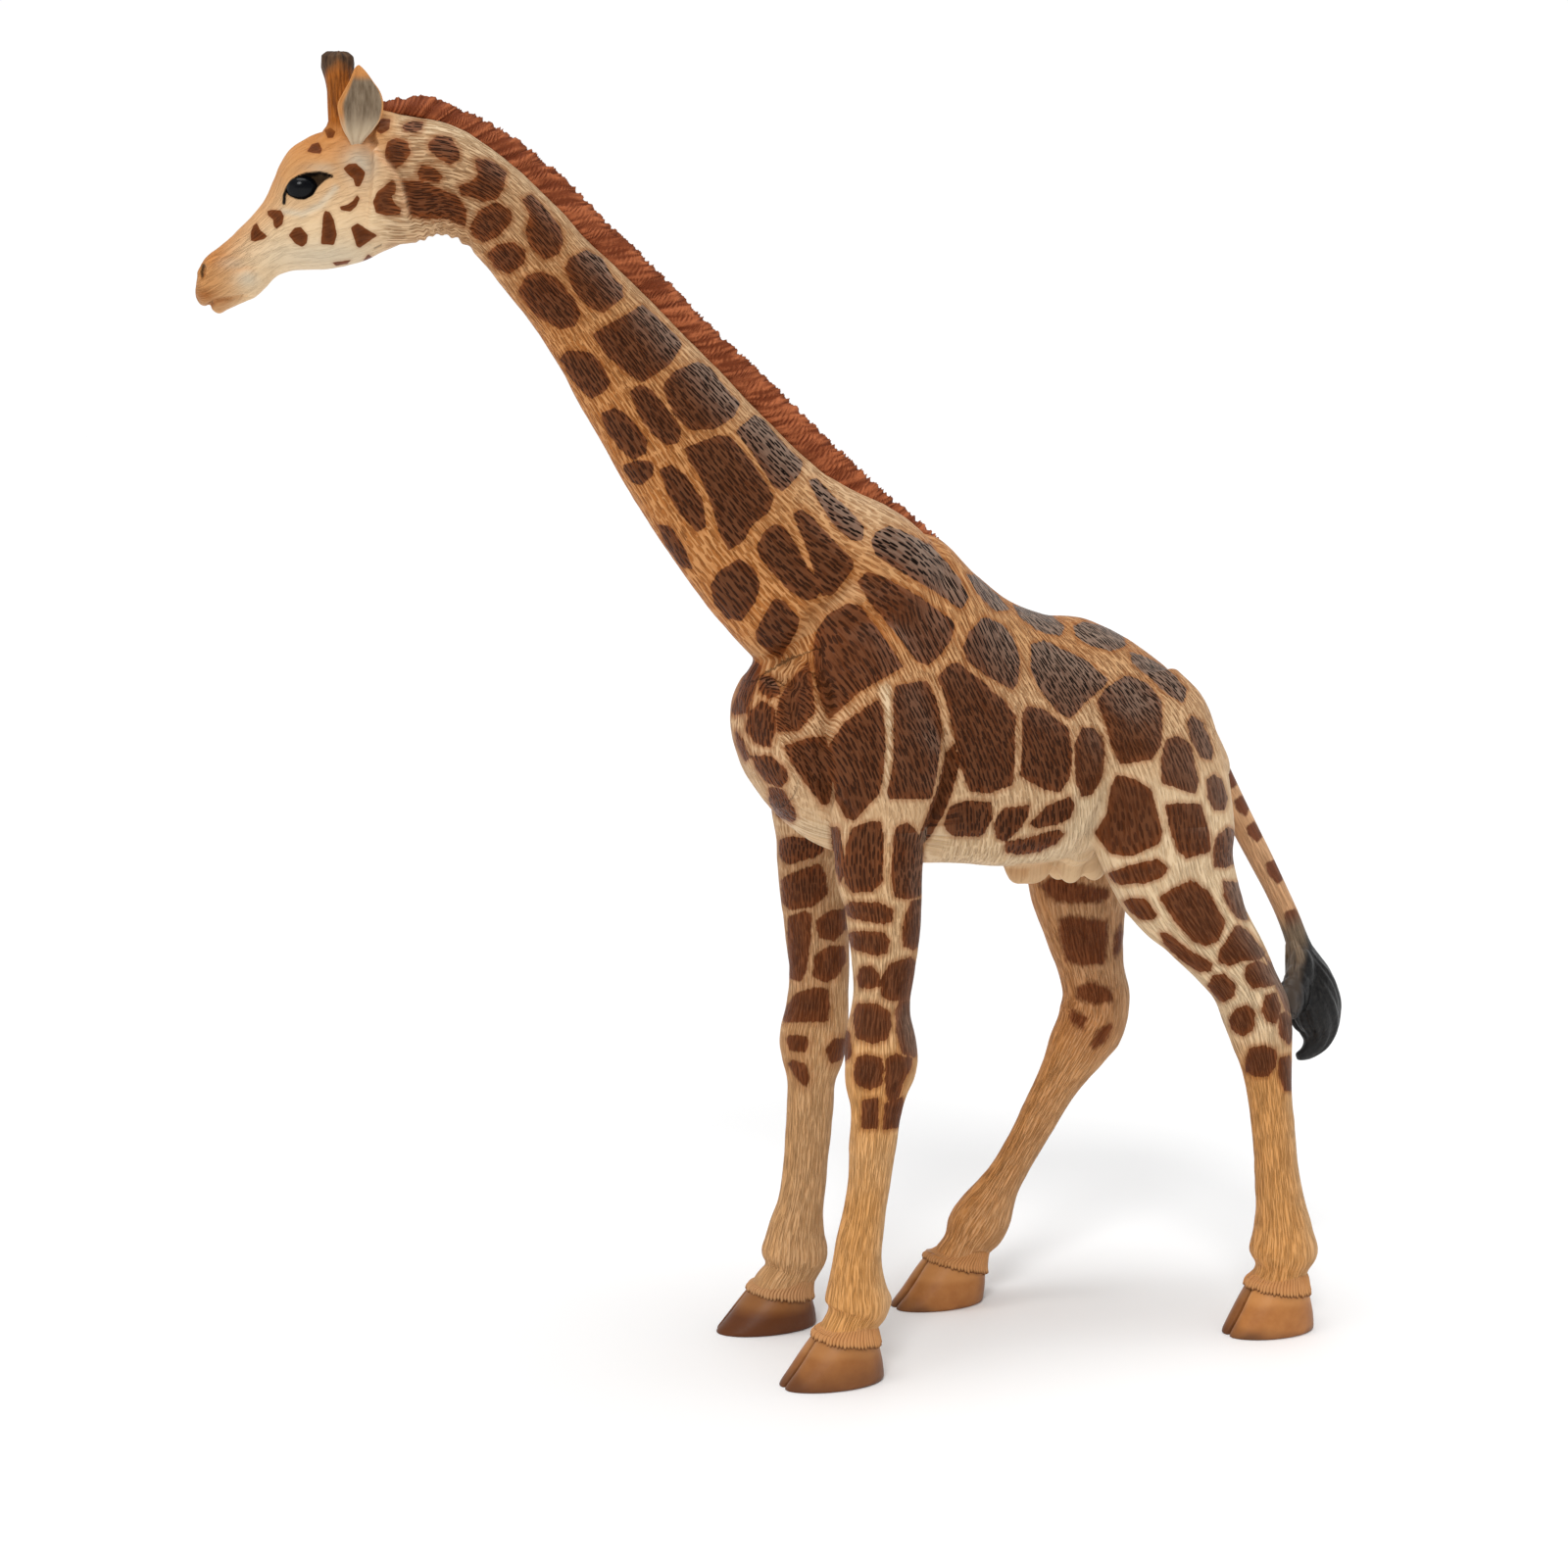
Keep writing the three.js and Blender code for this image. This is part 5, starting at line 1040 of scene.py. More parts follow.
def body_marks(me):
    V, N = positions(me), normals(me)
    n = len(V)
    x, y, z = V.T
    even, near_by = N.copy(), Net(me)   # directions of the skin without its small relief
    for _ in range(28):
        even = near_by.mean(even)
    even = unit(even)
    q = thrown(V)
    nd = neck_depth(V)
    coat = np.minimum(patch_distance(q, COAT_HEAD), patch_distance(q, COAT_NECK + COAT_BODY, 0.2))
    far = smoothstep(2.0, 5.0, y)
    fore, hind = far * smoothstep(84, 81, z) * (x < 38), far * smoothstep(82, 78, z) * (x > 38)
    coat = coat * (1 - fore) + patch_distance(q, COAT_FORE, 0.2) * fore
    coat = coat * (1 - hind) + patch_distance(q, COAT_HIND, 0.2) * hind
    coat *= 1 - 0.8 * hind - 0.45 * fore      # the far legs' patches have softer edges
    # the sides that face away from EYE_POINT have patches of their own
    facing = np.einsum("ij,ij->i", even, unit(EYE_POINT - V))
    ends = np.stack([np.abs(y), z], -1)
    chest = smoothstep(0.05, -0.15, facing) * smoothstep(0.3, 0.5, -even[:, 0]) * (nd > 0) * (x < 12) * smoothstep(84, 86, z)
    rump = smoothstep(0.05, -0.2, facing) * smoothstep(0.3, 0.5, even[:, 0]) * (x > 62) * smoothstep(80, 84, z)
    nape = smoothstep(0.08, -0.12, facing) * smoothstep(0.1, 0.35, even @ [0.74, 0.0, 0.67]) * smoothstep(6, 0, nd) * (x < 26) * (x > -50)
    coat = coat * (1 - chest) + patch_distance(ends, COAT_CHEST) * chest
    coat = coat * (1 - rump) + patch_distance(ends, COAT_RUMP) * rump
    coat = coat * (1 - nape) + patch_distance(q + [-3.8, 0.9], COAT_NECK, 0.2) * nape
    for w in (chest, rump, nape):       # plain coat between the two sets of patches
        coat += 7.0 * w * (1 - w)
    leg = {k: on_path(V, rows) for k, rows in legs.items()}
    flow_a = np.where((x < 38)[:, None], np.where((y < 0)[:, None], leg["foreleg_left"], leg["foreleg_right"]), np.where((y < 0)[:, None], leg["hindleg_left"], leg["hindleg_right"]))
    mix = np.maximum(smoothstep(80, 98, z), smoothstep(10, 15, np.abs(np.where(x < 38, x - 14, x - 64.5))) * (z > 74))
    in_neck = (nd < 10) & (z > 108) & (x < 45)
    flow_a[in_neck] = on_path(V[in_neck], NECK, 10.0)
    mix[in_neck] = smoothstep(0, 10, nd[in_neck])
    flow_b = trunk_flow(V)
    u, s, hz = head_coords(V)
    at_head = (u > 4) & (z > 160)
    flow_b[at_head] = head_flow(V[at_head])
    mix[at_head] = smoothstep(9.0, 12.0, u[at_head] + 0.13 * (z[at_head] - 182))
    horny = smoothstep(187.8, 190.6, z) * smoothstep(4.4, 3.2, np.abs(u - 16.8))
    around = np.arctan2(np.abs(s) - 2.75, u - 16.8)
    flow_a[horny > 0] = np.stack([around * 2.4 / PITCH, hz / (PITCH * STROKE), 0 * hz], -1)[horny > 0]
    mix *= 1 - smoothstep(0.0, 0.4, horny)
    # hair of the chest's and the rump's end runs straight down
    down = smoothstep(0.55, 0.8, np.abs(even[:, 0])) * (nd > 2) * np.where(x < 38, smoothstep(4, 0, x), smoothstep(73, 78, x)) * (z > 84)
    down *= np.where(x < 38, np.maximum(smoothstep(1, -2, x), smoothstep(96, 100, z)), np.maximum(smoothstep(76, 80, x), smoothstep(96, 100, z)))
    flow_a[down > 0] = np.stack([y / PITCH, z / (PITCH * STROKE), 0 * y], -1)[down > 0]
    mix = mix * (1 - down)
    low = smoothstep(94, 76, z)
    trunk = (nd > 0).astype(float)
    cream = 0.15 + 0.5 * trunk * smoothstep(118, 92, z)
    cream = np.maximum(cream, trunk * smoothstep(0.1, -0.75, N[:, 2]) * smoothstep(100, 84, z) * smoothstep(70, 76, z))
    hind_part = (x > 45).astype(float)
    cream = np.maximum(cream, hind_part * smoothstep(44, 50, z) * smoothstep(102, 88, z) * 0.92)
    cream = np.maximum(cream, (1 - hind_part) * smoothstep(46, 58, z) * smoothstep(94, 84, z) * 0.62)
    cream *= np.where(x > 45, smoothstep(41, 48, z), smoothstep(36, 57, z))
    ahead = smoothstep(0.75, -0.5, N[:, 0])
    low_leg = np.where(x > 45, smoothstep(52, 40, z), smoothstep(66, 50, z))
    orange = low_leg * (0.05 + 0.34 * ahead)
    far_hind = far * (x > 38) * (z < 79) * (nd > 0)
    orange = np.maximum(orange, far_hind * (0.3 + 0.4 * ahead * smoothstep(60, 46, z)))
    cream = cream * (1 - 0.75 * far_hind * smoothstep(0.9, 0.2, N[:, 0]))
    cream = np.maximum(cream, low_leg * (0.16 + 0.5 * smoothstep(-0.2, 0.95, N[:, 0])))
    cream = np.maximum(cream, (x < 38) * (y < 0) * 0.5 * np.exp(-(((z - 35) / 7) ** 2)) * (nd > 0))
    cream = np.maximum(cream, far_hind * 0.6 * smoothstep(0.3, 0.9, N[:, 0]))
    inner = smoothstep(0.2, 0.8, np.where(y < 0, N[:, 1], -N[:, 1])) * (z < 84) * (nd > 0)
    cream = np.maximum(cream, inner * 0.6)
    # painted shade: the far legs are greyed, and on the head the underside of the muzzle
    painted_shade = 0.75 * far * (z < 84) * (x < 38) * (nd > 0) + 0.15 * far * (x > 38) * (z < 80)
    along_neck = np.clip(-nd / 95.0, 0, 1)
    neckness = smoothstep(1, -6, nd)
    under = smoothstep(0.5, -0.5, N[:, 2] * 0.75 + N[:, 0] * 0.55)
    # on the neck the cream also lies on the upward-facing top beside the mane, a painted highlight
    cream = cream * (1 - neckness) + neckness * (0.15 + 0.4 * smoothstep(0.55, 1.0, along_neck) + 0.45 * smoothstep(0.15, 0.8, N[:, 2]))
    cream = np.maximum(cream, neckness * 0.8 * smoothstep(0.72, 0.92, along_neck) * smoothstep(0.2, -0.5, N[:, 2]))
    orange = orange * (1 - neckness) + neckness * 0.8 * under * smoothstep(0.85, 0.6, along_neck)
    shoulder = np.exp(-(((x - 5) / 15) ** 2) - ((z - 117) / 12) ** 2) * trunk
    orange = np.maximum(orange, 0.75 * shoulder)
    pale = 0.95 * np.exp(-((line_distance(np.stack([x, z], -1), PALE_LINE)[0] / 1.5) ** 2)) * (np.abs(y) > 6)
    pale = np.maximum(pale, 0.8 * np.exp(-(((x - 3) / 5) ** 2) - ((z - 88) / 4) ** 2) * (nd > 0))
    cream, orange = np.maximum(cream, pale), orange * (1 - pale)
    milk = 0.45 * trunk * smoothstep(-0.1, -0.7, N[:, 2]) * smoothstep(86, 80, z) * smoothstep(70, 76, z) * (np.abs(y) < 13)
    udder = smoothstep(81.5, 78, z) * smoothstep(70, 72.5, z) * smoothstep(40, 42, x) * smoothstep(63, 60, x) * (np.abs(y) < 6)
    milk = milk * (1 - 0.5 * udder)
    glow = 0.05 * udder
    cream = cream * (1 - 0.35 * udder * smoothstep(52, 47, x))
    glow = np.maximum(glow, low_leg * np.where(x < 38, np.where(y < 0, 0.42, 0.46), np.where(y < 0, 0.36, 0.16)) * (0.75 + 0.25 * ahead))
    glow = np.maximum(glow, 0.14 * (z < 84) * (y < 0) * (nd > 0) * (x < 38))
    milk = np.maximum(milk, 0.6 * trunk * np.exp(-(((x - 49.5) / 4) ** 2) - ((z - 83.5) / 4.5) ** 2))
    milk = np.maximum(milk, 0.22 * hind_part * (y < 2) * smoothstep(48, 58, z) * smoothstep(98, 86, z))
    orange = np.maximum(orange, 0.45 * trunk * smoothstep(0.5, 0.95, N[:, 2]) * smoothstep(100, 112, z))
    washed = 0.5 + 0.4 * trunk * smoothstep(90, 104, z) + 0.3 * neckness
    washed *= 1 - 0.5 * np.clip(milk, 0, 1)
    cut = 0.3 + 0.7 * np.maximum(neckness, smoothstep(62, 84, z)) * np.where(z > 60, 1, 0)
    cut *= 1 - 0.4 * hind_part * trunk * smoothstep(108, 94, z)
    warm = smoothstep(0.35, 0.95, along_neck) * 0.9 + 0.6 * shoulder + 0.35 * (1 - smoothstep(-6, 10, x)) * trunk + 0.3 * (z < 84) * trunk
    # painted sheen: skin facing up is painted grey over the strokes, as if lit from above
    painted_sheen = 0.08 + 0.78 * smoothstep(0.1, 0.85, even @ [0.5, -0.1, 0.86]) * (1 - 0.6 * smoothstep(0.6, 1, along_neck))
    ragged = (0.6 + 0.3 * trunk) * (1 - 0.65 * hind - 0.45 * fore)
    relief = np.full(n, 1.0)
    on_head = smoothstep(8.0, 13.0, u + 0.13 * (z - 182)) * (z > 155) * (nd < -50)
    over = lambda value, head: value * (1 - on_head) + head * on_head
    coat *= 1 + 0.8 * on_head
    cream = over(cream, np.clip(0.12 + 0.85 * smoothstep(186, 173, z + 0.25 * (u - 20)) * smoothstep(38, 25, u) + 0.25 * smoothstep(0.0, -0.8, N[:, 2]), 0, 1))
    orange = over(orange, np.maximum(0.6 * smoothstep(183, 189, z) * smoothstep(10, 14, u), 0.5 * smoothstep(24, 27, u) * smoothstep(-0.1, 0.7, N[:, 2]) + 0.4 * smoothstep(30, 36, u)))
    painted_shade = over(painted_shade, 0.3 * smoothstep(172, 165, z) * smoothstep(30, 34, u))
    washed, warm, painted_sheen, ragged, cut = over(washed, 0.4), over(warm, 0.2), over(painted_sheen, 0.05), over(ragged, 0.3), over(cut, 0.15)
    relief *= (1 - 0.2 * smoothstep(56, 44, z)) * (1 - 0.75 * udder)
    relief = over(relief, 0.36 + 0.4 * smoothstep(13, 10, u))
    milk = over(milk, 0.4 * smoothstep(184, 174, z + 0.25 * (u - 20)) * smoothstep(36, 26, u))
    glow = over(glow, 0.1)
    # the pale ridge behind the jaw, where the head is set on the neck
    jaw, jaw_t = line_distance(np.stack([u - 0.25, z], -1), JAW_BACK)
    ridge = 0.85 * np.exp(-((jaw / 0.42) ** 2)) * smoothstep(0.0, 0.15, jaw_t) * smoothstep(1.0, 0.8, jaw_t) * (nd < -50) * (np.abs(s) > 2)
    spot = lambda u0, z0, ru, rz: np.exp(-(((u - u0) / ru) ** 2) - ((z - z0) / rz) ** 2)
    uz = np.stack([u, z], -1)
    lid = line_distance(uz, [(25.2, 177.4), (22.5, 177.0), (20.0, 178.2), (17.8, 180.6)])[0]
    lips = line_distance(uz, MOUTH)[0]
    ash = on_head * np.maximum.reduce([0.6 * spot(19, 171.3, 10, 2.3), 0.65 * spot(30.3, 168.0, 1.8, 1.3), 0.35 * spot(32.5, 170.2, 2.2, 1.0), 0.6 * np.exp(-((lid / 0.55) ** 2)), 0.85 * spot(14.2, 184.0, 2.4, 2.6), 0.4 * spot(19.5, 183.4, 2.4, 0.8)])
    umber = on_head * np.maximum.reduce([0.75 * spot(36.5, 165.7, 1.5, 0.9), 0.5 * np.exp(-((lips / 0.4) ** 2)) * smoothstep(32.0, 34.5, u), 0.4 * spot(34.1, 164.8, 1.2, 0.8)])
    # darker grey brown on the near hind hock, where the tail's tuft lies on it
    soot = 0.75 * np.exp(-((x - 85.2) / 2.2) ** 2 - ((y + 16.2) / 3.6) ** 2 - ((z - 53.5) / 3.4) ** 2)
    cav = np.empty(n)
    for i, p in enumerate(V):
        cav[i] = cavity[tree.find(p)[1]]
    at_seam = (u > 5) * (z > 165) * smoothstep(3.0, 0.8, np.abs((V - head_seam_at) @ head_seam_dir)) * (jaw > 1.2)
    cav = cav * (1 - at_seam)
    for name, v in dict(coat=coat, glow=glow, ridge=ridge, horny=horny * on_head, milk=milk, place=V, flow_mix=mix, flow_a=flow_a, flow_b=flow_b, cream=cream, orange=orange, painted_shade=painted_shade, washed=washed, warm=warm, painted_sheen=painted_sheen, ragged=ragged, cut=cut, ash=ash, umber=umber, soot=soot, relief=relief, cavity=cav * 3.0, ink=np.zeros(n)).items():
        attribute(me, name, v)


skin_material = coat_material("coat_paint")
head_seam_dir = unit(HEAD_DIR + 0.13 * UP)
head_seam_at = head_point(HEAD_SEAM_U, 0, 182.0)
leg_boxes = {
    "foreleg_left": ((-12, -40, -5), (22.8, -4.6, FORE_SEAM_Z)),
    "foreleg_right": ((-12, 4.6, -5), (22.8, 40, FORE_SEAM_Z)),
    "hindleg_left": ((51.0, -40, -5), (120, -4.2, HIND_SEAM_Z)),
    "hindleg_right": ((28.0, 4.2, -5), (120, 40, HIND_SEAM_Z)),
}
rest = body
for name, (low, high) in leg_boxes.items():
    if name == "hindleg_right":
        # the far hind leg reaches forward, so its block keeps clear of the belly
        V0, F0 = [], []
        block = box_cutter((28.0, 4.2, -5), (120, 40, 74.0))
        upper = box_cutter((51.0, 4.2, 70.0), (120, 40, HIND_SEAM_Z))
        joined_block = cut(block, upper, "UNION", "block")
        drop(block, upper)
        block = joined_block
    else:
        block = box_cutter(low, high)
    leg = cut(rest, block, "INTERSECT", name)
    smaller = cut(rest, block, "DIFFERENCE", "rest")
    if rest is not body:
        drop(rest)
    rest = smaller
    body_marks(leg.data)
    planes = [(np.array([low[0], 0, 0]), XYZ[0]), (np.array([high[0], 0, 0]), XYZ[0]), (np.array([0, low[1], 0]), XYZ[1]), (np.array([0, high[1], 0]), XYZ[1]), (np.array([0, 0, high[2]]), XYZ[2]), (np.array([0, 0, 74.0]), XYZ[2])]
    finished(leg, name, [name], skin_material, planes)
    drop(block)

beyond_neck = side_cutter(NECK_SEAM_AT, NECK_SEAM_DIR)
torso = cut(rest, beyond_neck, "INTERSECT", "torso")
upper = cut(rest, beyond_neck, "DIFFERENCE", "upper")
body_marks(torso.data)
leg_planes = [(np.array([22.8, 0, 0]), XYZ[0]), (np.array([51.0, 0, 0]), XYZ[0]), (np.array([0, -4.6, 0]), XYZ[1]), (np.array([0, 4.6, 0]), XYZ[1]), (np.array([0, -4.2, 0]), XYZ[1]), (np.array([0, 4.2, 0]), XYZ[1]), (np.array([0, 0, FORE_SEAM_Z]), XYZ[2]), (np.array([0, 0, HIND_SEAM_Z]), XYZ[2])]
finished(torso, "torso", ["torso"], skin_material, leg_planes + [(NECK_SEAM_AT, NECK_SEAM_DIR)])
beyond_head = side_cutter(head_seam_at, head_seam_dir)
neck_piece = cut(upper, beyond_head, "DIFFERENCE", "neck")
body_marks(neck_piece.data)
finished(neck_piece, "neck", ["neck"], skin_material, [(NECK_SEAM_AT, NECK_SEAM_DIR), (head_seam_at, head_seam_dir)])
drop(beyond_neck, upper, rest)

# ---------------------------------------------------------------- head
parts = [head_loft(), neck]
for side in (1, -1):
    for u0, s0, z0, ru, rs in ((16.8, 2.5, 185.2, 4.6, 2.9), (16.9, 2.6, 186.9, 3.6, 2.6), (16.8, 2.7, 188.4, 2.65, 2.3), (16.78, 2.75, 189.7, 2.0, 1.95), (16.75, 2.75, 190.7, 1.72, 1.68)):
        parts.append(ellipsoid(head_point(u0, side * s0, z0), HEAD_AXES, (ru, rs, 1.7)))
    for u0, s0, z0, ru, rs in ((14.5, 4.6, 183.4, 2.9, 1.8), (14.5, 4.7, 185.0, 2.3, 1.5), (14.5, 4.7, 186.4, 1.7, 1.1)):
        parts.append(ellipsoid(head_point(u0, side * s0, z0), HEAD_AXES, (ru, rs, 1.6)))
face = remeshed("face", parts, HEAD_VOXEL)
near = side_cutter(head_seam_at - 6 * head_seam_dir, head_seam_dir)
face_part = cut(face, near, "INTERSECT", "face_part")
drop(face, near)
face = face_part
relax(face, 9, HEAD_VOXEL, 40)

opening = rounded(LASH[:1:-1] + LID, 1)


def knob(u0, s0, z0, ru, rs, rz, height):
    def f(V, N):
        u, s, z = head_coords(V)
        return height * np.exp(-(((u - u0) / ru) ** 2) - (((np.abs(s) - s0) / rs) ** 2) - (((z - z0) / rz) ** 2))
    return f


def eye_pit(V, N):
    u, s, z = head_coords(V)
    d = patch_distance(np.stack([u, z], -1), [opening])
    return -1.1 * smoothstep(0.18, -0.35, d) * (np.abs(s) > 2.5)


curl(face, [
    knob(20.5, 5.6, 184.6, 4.4, 2.4, 1.3, 0.75),     # brow over the eye
    knob(27.0, 4.6, 178.5, 3.2, 2.5, 3.0, -0.55),    # hollow before the eye
    knob(16.5, 6.0, 176.0, 4.2, 3.0, 3.6, 0.55),     # cheek
    knob(25.5, 4.4, 172.4, 3.4, 2.5, 2.2, -0.45),    # under the cheek
    knob(22.0, 5.8, 176.4, 3.6, 2.0, 0.9, 0.35),     # bone under the eye
    knob(35.4, 2.5, 169.6, 1.9, 1.5, 1.5, 0.55),     # nostril wing
    knob(36.2, 0.0, 166.0, 1.8, 2.6, 0.9, 0.3),      # upper lip
    knob(36.3, 0.0, 163.9, 0.9, 3.0, 0.5, -0.5),     # step from the upper lip
    knob(34.6, 0.0, 163.4, 0.9, 2.0, 0.7, 0.45),     # chin
    knob(31.0, 3.2, 168.0, 2.2, 1.5, 1.6, 0.35),     # side of the muzzle
    knob(20.8, 0.0, 188.4, 3.0, 2.0, 1.6, 0.5),      # bump on the forehead
])
curl(face, [
    cheek(LASH, 0.42, 0.34, 3.0, -0.15), cheek(LID, 0.36, 0.26, 3.0, 0.2), cheek(BROW, 0.7, 0.22, 2.5),
    cheek([(25.0, 178.0), (22.5, 177.5), (20.0, 178.4), (18.4, 180.3)], 0.5, -0.28, 3.0),
    cheek(MOUTH, 0.3, -0.7, 0.0), cheek(MUZZLE_FOLD, 0.5, -0.3, 1.2), cheek(JAW_LINE, 0.3, -0.5, 2.0), cheek(CHEEK, 0.8, 0.2, 3.0),
    cheek(NOSTRIL, 0.34, -0.95, 0.9), cheek([(37.3, 170.4), (37.6, 168.6)], 0.5, 0.2, 0.9),
    eye_pit, grain(0.45, 0.10, 8), grain(1.1, 0.035, 9),
] + behind_jaw)
net, V = Net(face.data), positions(face.data)
for _ in range(2):
    V += 0.45 * (net.mean(V) - V)
# beside the seam the head lies on the neck's own skin
P = positions(body.data)
loops = np.empty(len(body.data.loops), np.int32)
body.data.loops.foreach_get("vertex_index", loops)
quads = loops.reshape(-1, 4)
quads = quads[(np.abs((P[quads[:, 0]] - head_seam_at) @ head_seam_dir) < 6) & (P[quads[:, 0], 2] > 158)]
used, index = np.unique(quads, return_inverse=True)
shell = BVHTree.FromPolygons(P[used].tolist(), index.reshape(-1, 4).tolist())
depth = (V - head_seam_at) @ head_seam_dir
weight = smoothstep(4.2, 0.4, depth)
for i in np.nonzero((weight > 0) & (depth > -2))[0]:
    hit = shell.find_nearest(Vector(V[i]))[0]
    if hit is not None:
        V[i] += weight[i] * (np.array(hit) - V[i])
weight = smoothstep(0.6, 1.6, depth) * smoothstep(5.0, 3.0, depth) * smoothstep(187.5, 186.0, V[:, 2])
for _ in range(14):
    V += 0.5 * weight[:, None] * (net.mean(V) - V)
set_positions(face.data, V)
cavity = cavity_of(face, HEAD_VOXEL)
tree = KDTree(len(V))
for i, p in enumerate(V):
    tree.insert(p, i)
tree.balance()
head = cut(face, beyond_head, "INTERSECT", "head")
drop(beyond_head)
body_marks(head.data)
V, N = positions(head.data), normals(head.data)
u, s, z = head_coords(V)
uz = np.stack([u, z], -1)
d, t = line_distance(uz, LASH)
ink = smoothstep(0.34, 0.16, d - 0.10 * smoothstep(0.15, 0.5, t) + 0.12 * smoothstep(0.6, 1.0, t)) * (np.abs(s) > 3)
inside = smoothstep(0.25, -0.1, patch_distance(uz, [opening])) * (np.abs(s) > 2.5)
ink = np.maximum(ink, inside * (0.88 + 0.1 * smoothstep(20.6, 21.4, u)))
d, t = line_distance(uz, NOSTRIL)
ink = np.maximum(ink, smoothstep(0.34, 0.1, d) * 0.85 * (np.abs(s) > 0.9))
d, t = line_distance(uz, JAW_LINE)
ink = np.maximum(ink, smoothstep(0.16, 0.03, d) * 0.6 * (np.abs(s) > 2))
attribute(head.data, "ink", ink)
finished(head, "head", ["head"], skin_material, [(head_seam_at, head_seam_dir)])
drop(face, body)

# eyes
s = Shader("eye_gloss")
s.set(Base_Color=s.mix(s.noise(s.attr("flow_b", True), 0.9), linear(5, 6, 8), linear(16, 17, 21)), Roughness=s.math("ADD", 0.16, s.math("MULTIPLY", s.noise(s.attr("flow_b", True), 2.0), 0.06)))
s.bsdf.inputs["Specular IOR Level"].default_value = 0.14
for side, label in ((1, "left"), (-1, "right")):
    V, F = ellipsoid(head_point(22.45, side * 4.6, 180.6), HEAD_AXES, (2.3, 1.66, 1.95), 96)
    ball = new_object("eye_" + label, V, F)
    attribute(ball.data, "flow_b", head_flow(V))
    finished(ball, "eye_" + label, ["eye_" + label], s.mat)

# ---------------------------------------------------------------- horns
s = Shader("horn_paint")
h = s.noise(s.attr("flow_b", True), 2.2, 3.0, 0.6)
fiber = s.step(s.noise(s.attr("flow_a", True), 1.5, 3.0, 0.6), 0.3, 0.7)
tone = s.mix(fiber, linear(112, 60, 18), linear(174, 102, 38))
dark = s.mix(fiber, linear(42, 31, 24), linear(92, 70, 50))
s.set(Base_Color=s.mix(s.math("MULTIPLY", s.attr("tip"), 0.95), tone, dark), Roughness=s.blend(h, 0.45, 0.6), Normal=s.bump(fiber, 0.00016))
s.bsdf.inputs["Specular IOR Level"].default_value = 0.12
for side, label in ((1, "left"), (-1, "right")):
    zz = np.linspace(189.2, 200.0, 100)
    t = (zz - 186.6) / 13.4
    r = np.interp(zz, [189.2, 190.6, 192.6, 195.0, 196.8, 198.3, 199.2, 199.75, 200.0], [1.6, 1.78, 1.84, 1.88, 2.02, 2.28, 2.22, 1.55, 0.5])
    phi = np.linspace(0, 2 * math.pi, 120, endpoint=False)
    rng = np.random.RandomState(21 + side)
    wave = sum(rng.uniform(0.4, 1.0) * np.cos(k * phi[None] + rng.uniform(0, 6.28) + t[:, None] * rng.uniform(-3, 3)) for k in (7, 11, 13, 17, 22))
    wave = wave / np.abs(wave).max()
    lumps = sum(rng.uniform(0.5, 1.0) * np.cos(k * phi[None] + rng.uniform(0, 6.28)) for k in (3, 5, 8)) / 2.2
    knobby = smoothstep(196.0, 198.6, zz)[:, None]
    R = r[:, None] * (1 + 0.055 * wave * (1 - 0.3 * knobby) + 0.085 * lumps * knobby)
    c = head_point(16.75 + 0.35 * smoothstep(195, 199, zz), side * 2.75, zz)
    P = c[:, None] + (R * np.cos(phi))[..., None] * HEAD_DIR + (0.93 * R * np.sin(phi))[..., None] * HEAD_SIDE
    P[:, :, 2] += 0.25 * (lumps * knobby) * (zz < 199.9)[:, None]
    P[:, :, 2] = np.minimum(P[:, :, 2], 200.0)
    V, F = skin(P)
    ob = new_object("horn_" + label, V, F)
    u, sd, z = head_coords(V)
    ang = np.arctan2(sd - side * 2.75, u - 16.9)
    attribute(ob.data, "flow_a", np.stack([np.cos(ang) * 2.1, np.sin(ang) * 2.1, z / 5.0], -1))
    attribute(ob.data, "flow_b", np.stack([u, sd, z], -1))
    attribute(ob.data, "tip", smoothstep(196.8, 199.2, z + 0.8 * (value_noise(V, 1.1, 5) - 0.5) + 0.6 * np.abs(u - 17.0) + 0.05))
    finished(ob, "horn_" + label, ["horn_" + label], s.mat)

# ---------------------------------------------------------------- ears
s = Shader("ear_paint")
fiber = s.noise(s.attr("flow_a", True), 1.6, 3.0, 0.6)
outer = s.mix(fiber, linear(178, 112, 54), linear(214, 152, 92))
outer = s.mix(s.attr("lobe"), outer, linear(200, 176, 146))
inner = s.mix(s.step(fiber, 0.2, 0.85), linear(100, 82, 62), linear(148, 130, 108))
inner = s.mix(s.attr("lobe"), inner, linear(190, 170, 142))
s.set(Base_Color=s.mix(s.attr("inner"), outer, inner), Roughness=s.blend(fiber, 0.45, 0.6), Normal=s.bump(fiber, 0.00014))
s.bsdf.inputs["Specular IOR Level"].default_value = 0.12
EAR_OUTLINE = [  # height, front edge, back edge, middle of the sheet outward, cupping
    (184.9, 15.2, 14.4, 4.6, 0.02), (186.4, 15.35, 14.2, 5.3, 0.1), (187.4, 15.8, 13.6, 5.85, 0.35), (188.8, 16.6, 12.3, 6.35, 0.8), (190.4, 17.1, 11.25, 6.8, 1.1), (192.0, 17.3, 10.9, 7.1, 1.2),
    (193.8, 16.45, 11.25, 7.4, 1.0), (195.3, 15.6, 12.25, 7.7, 0.7), (196.5, 15.1, 13.1, 7.9, 0.4), (197.3, 14.7, 13.8, 8.0, 0.15), (197.6, 14.35, 14.15, 8.0, 0.02),
]
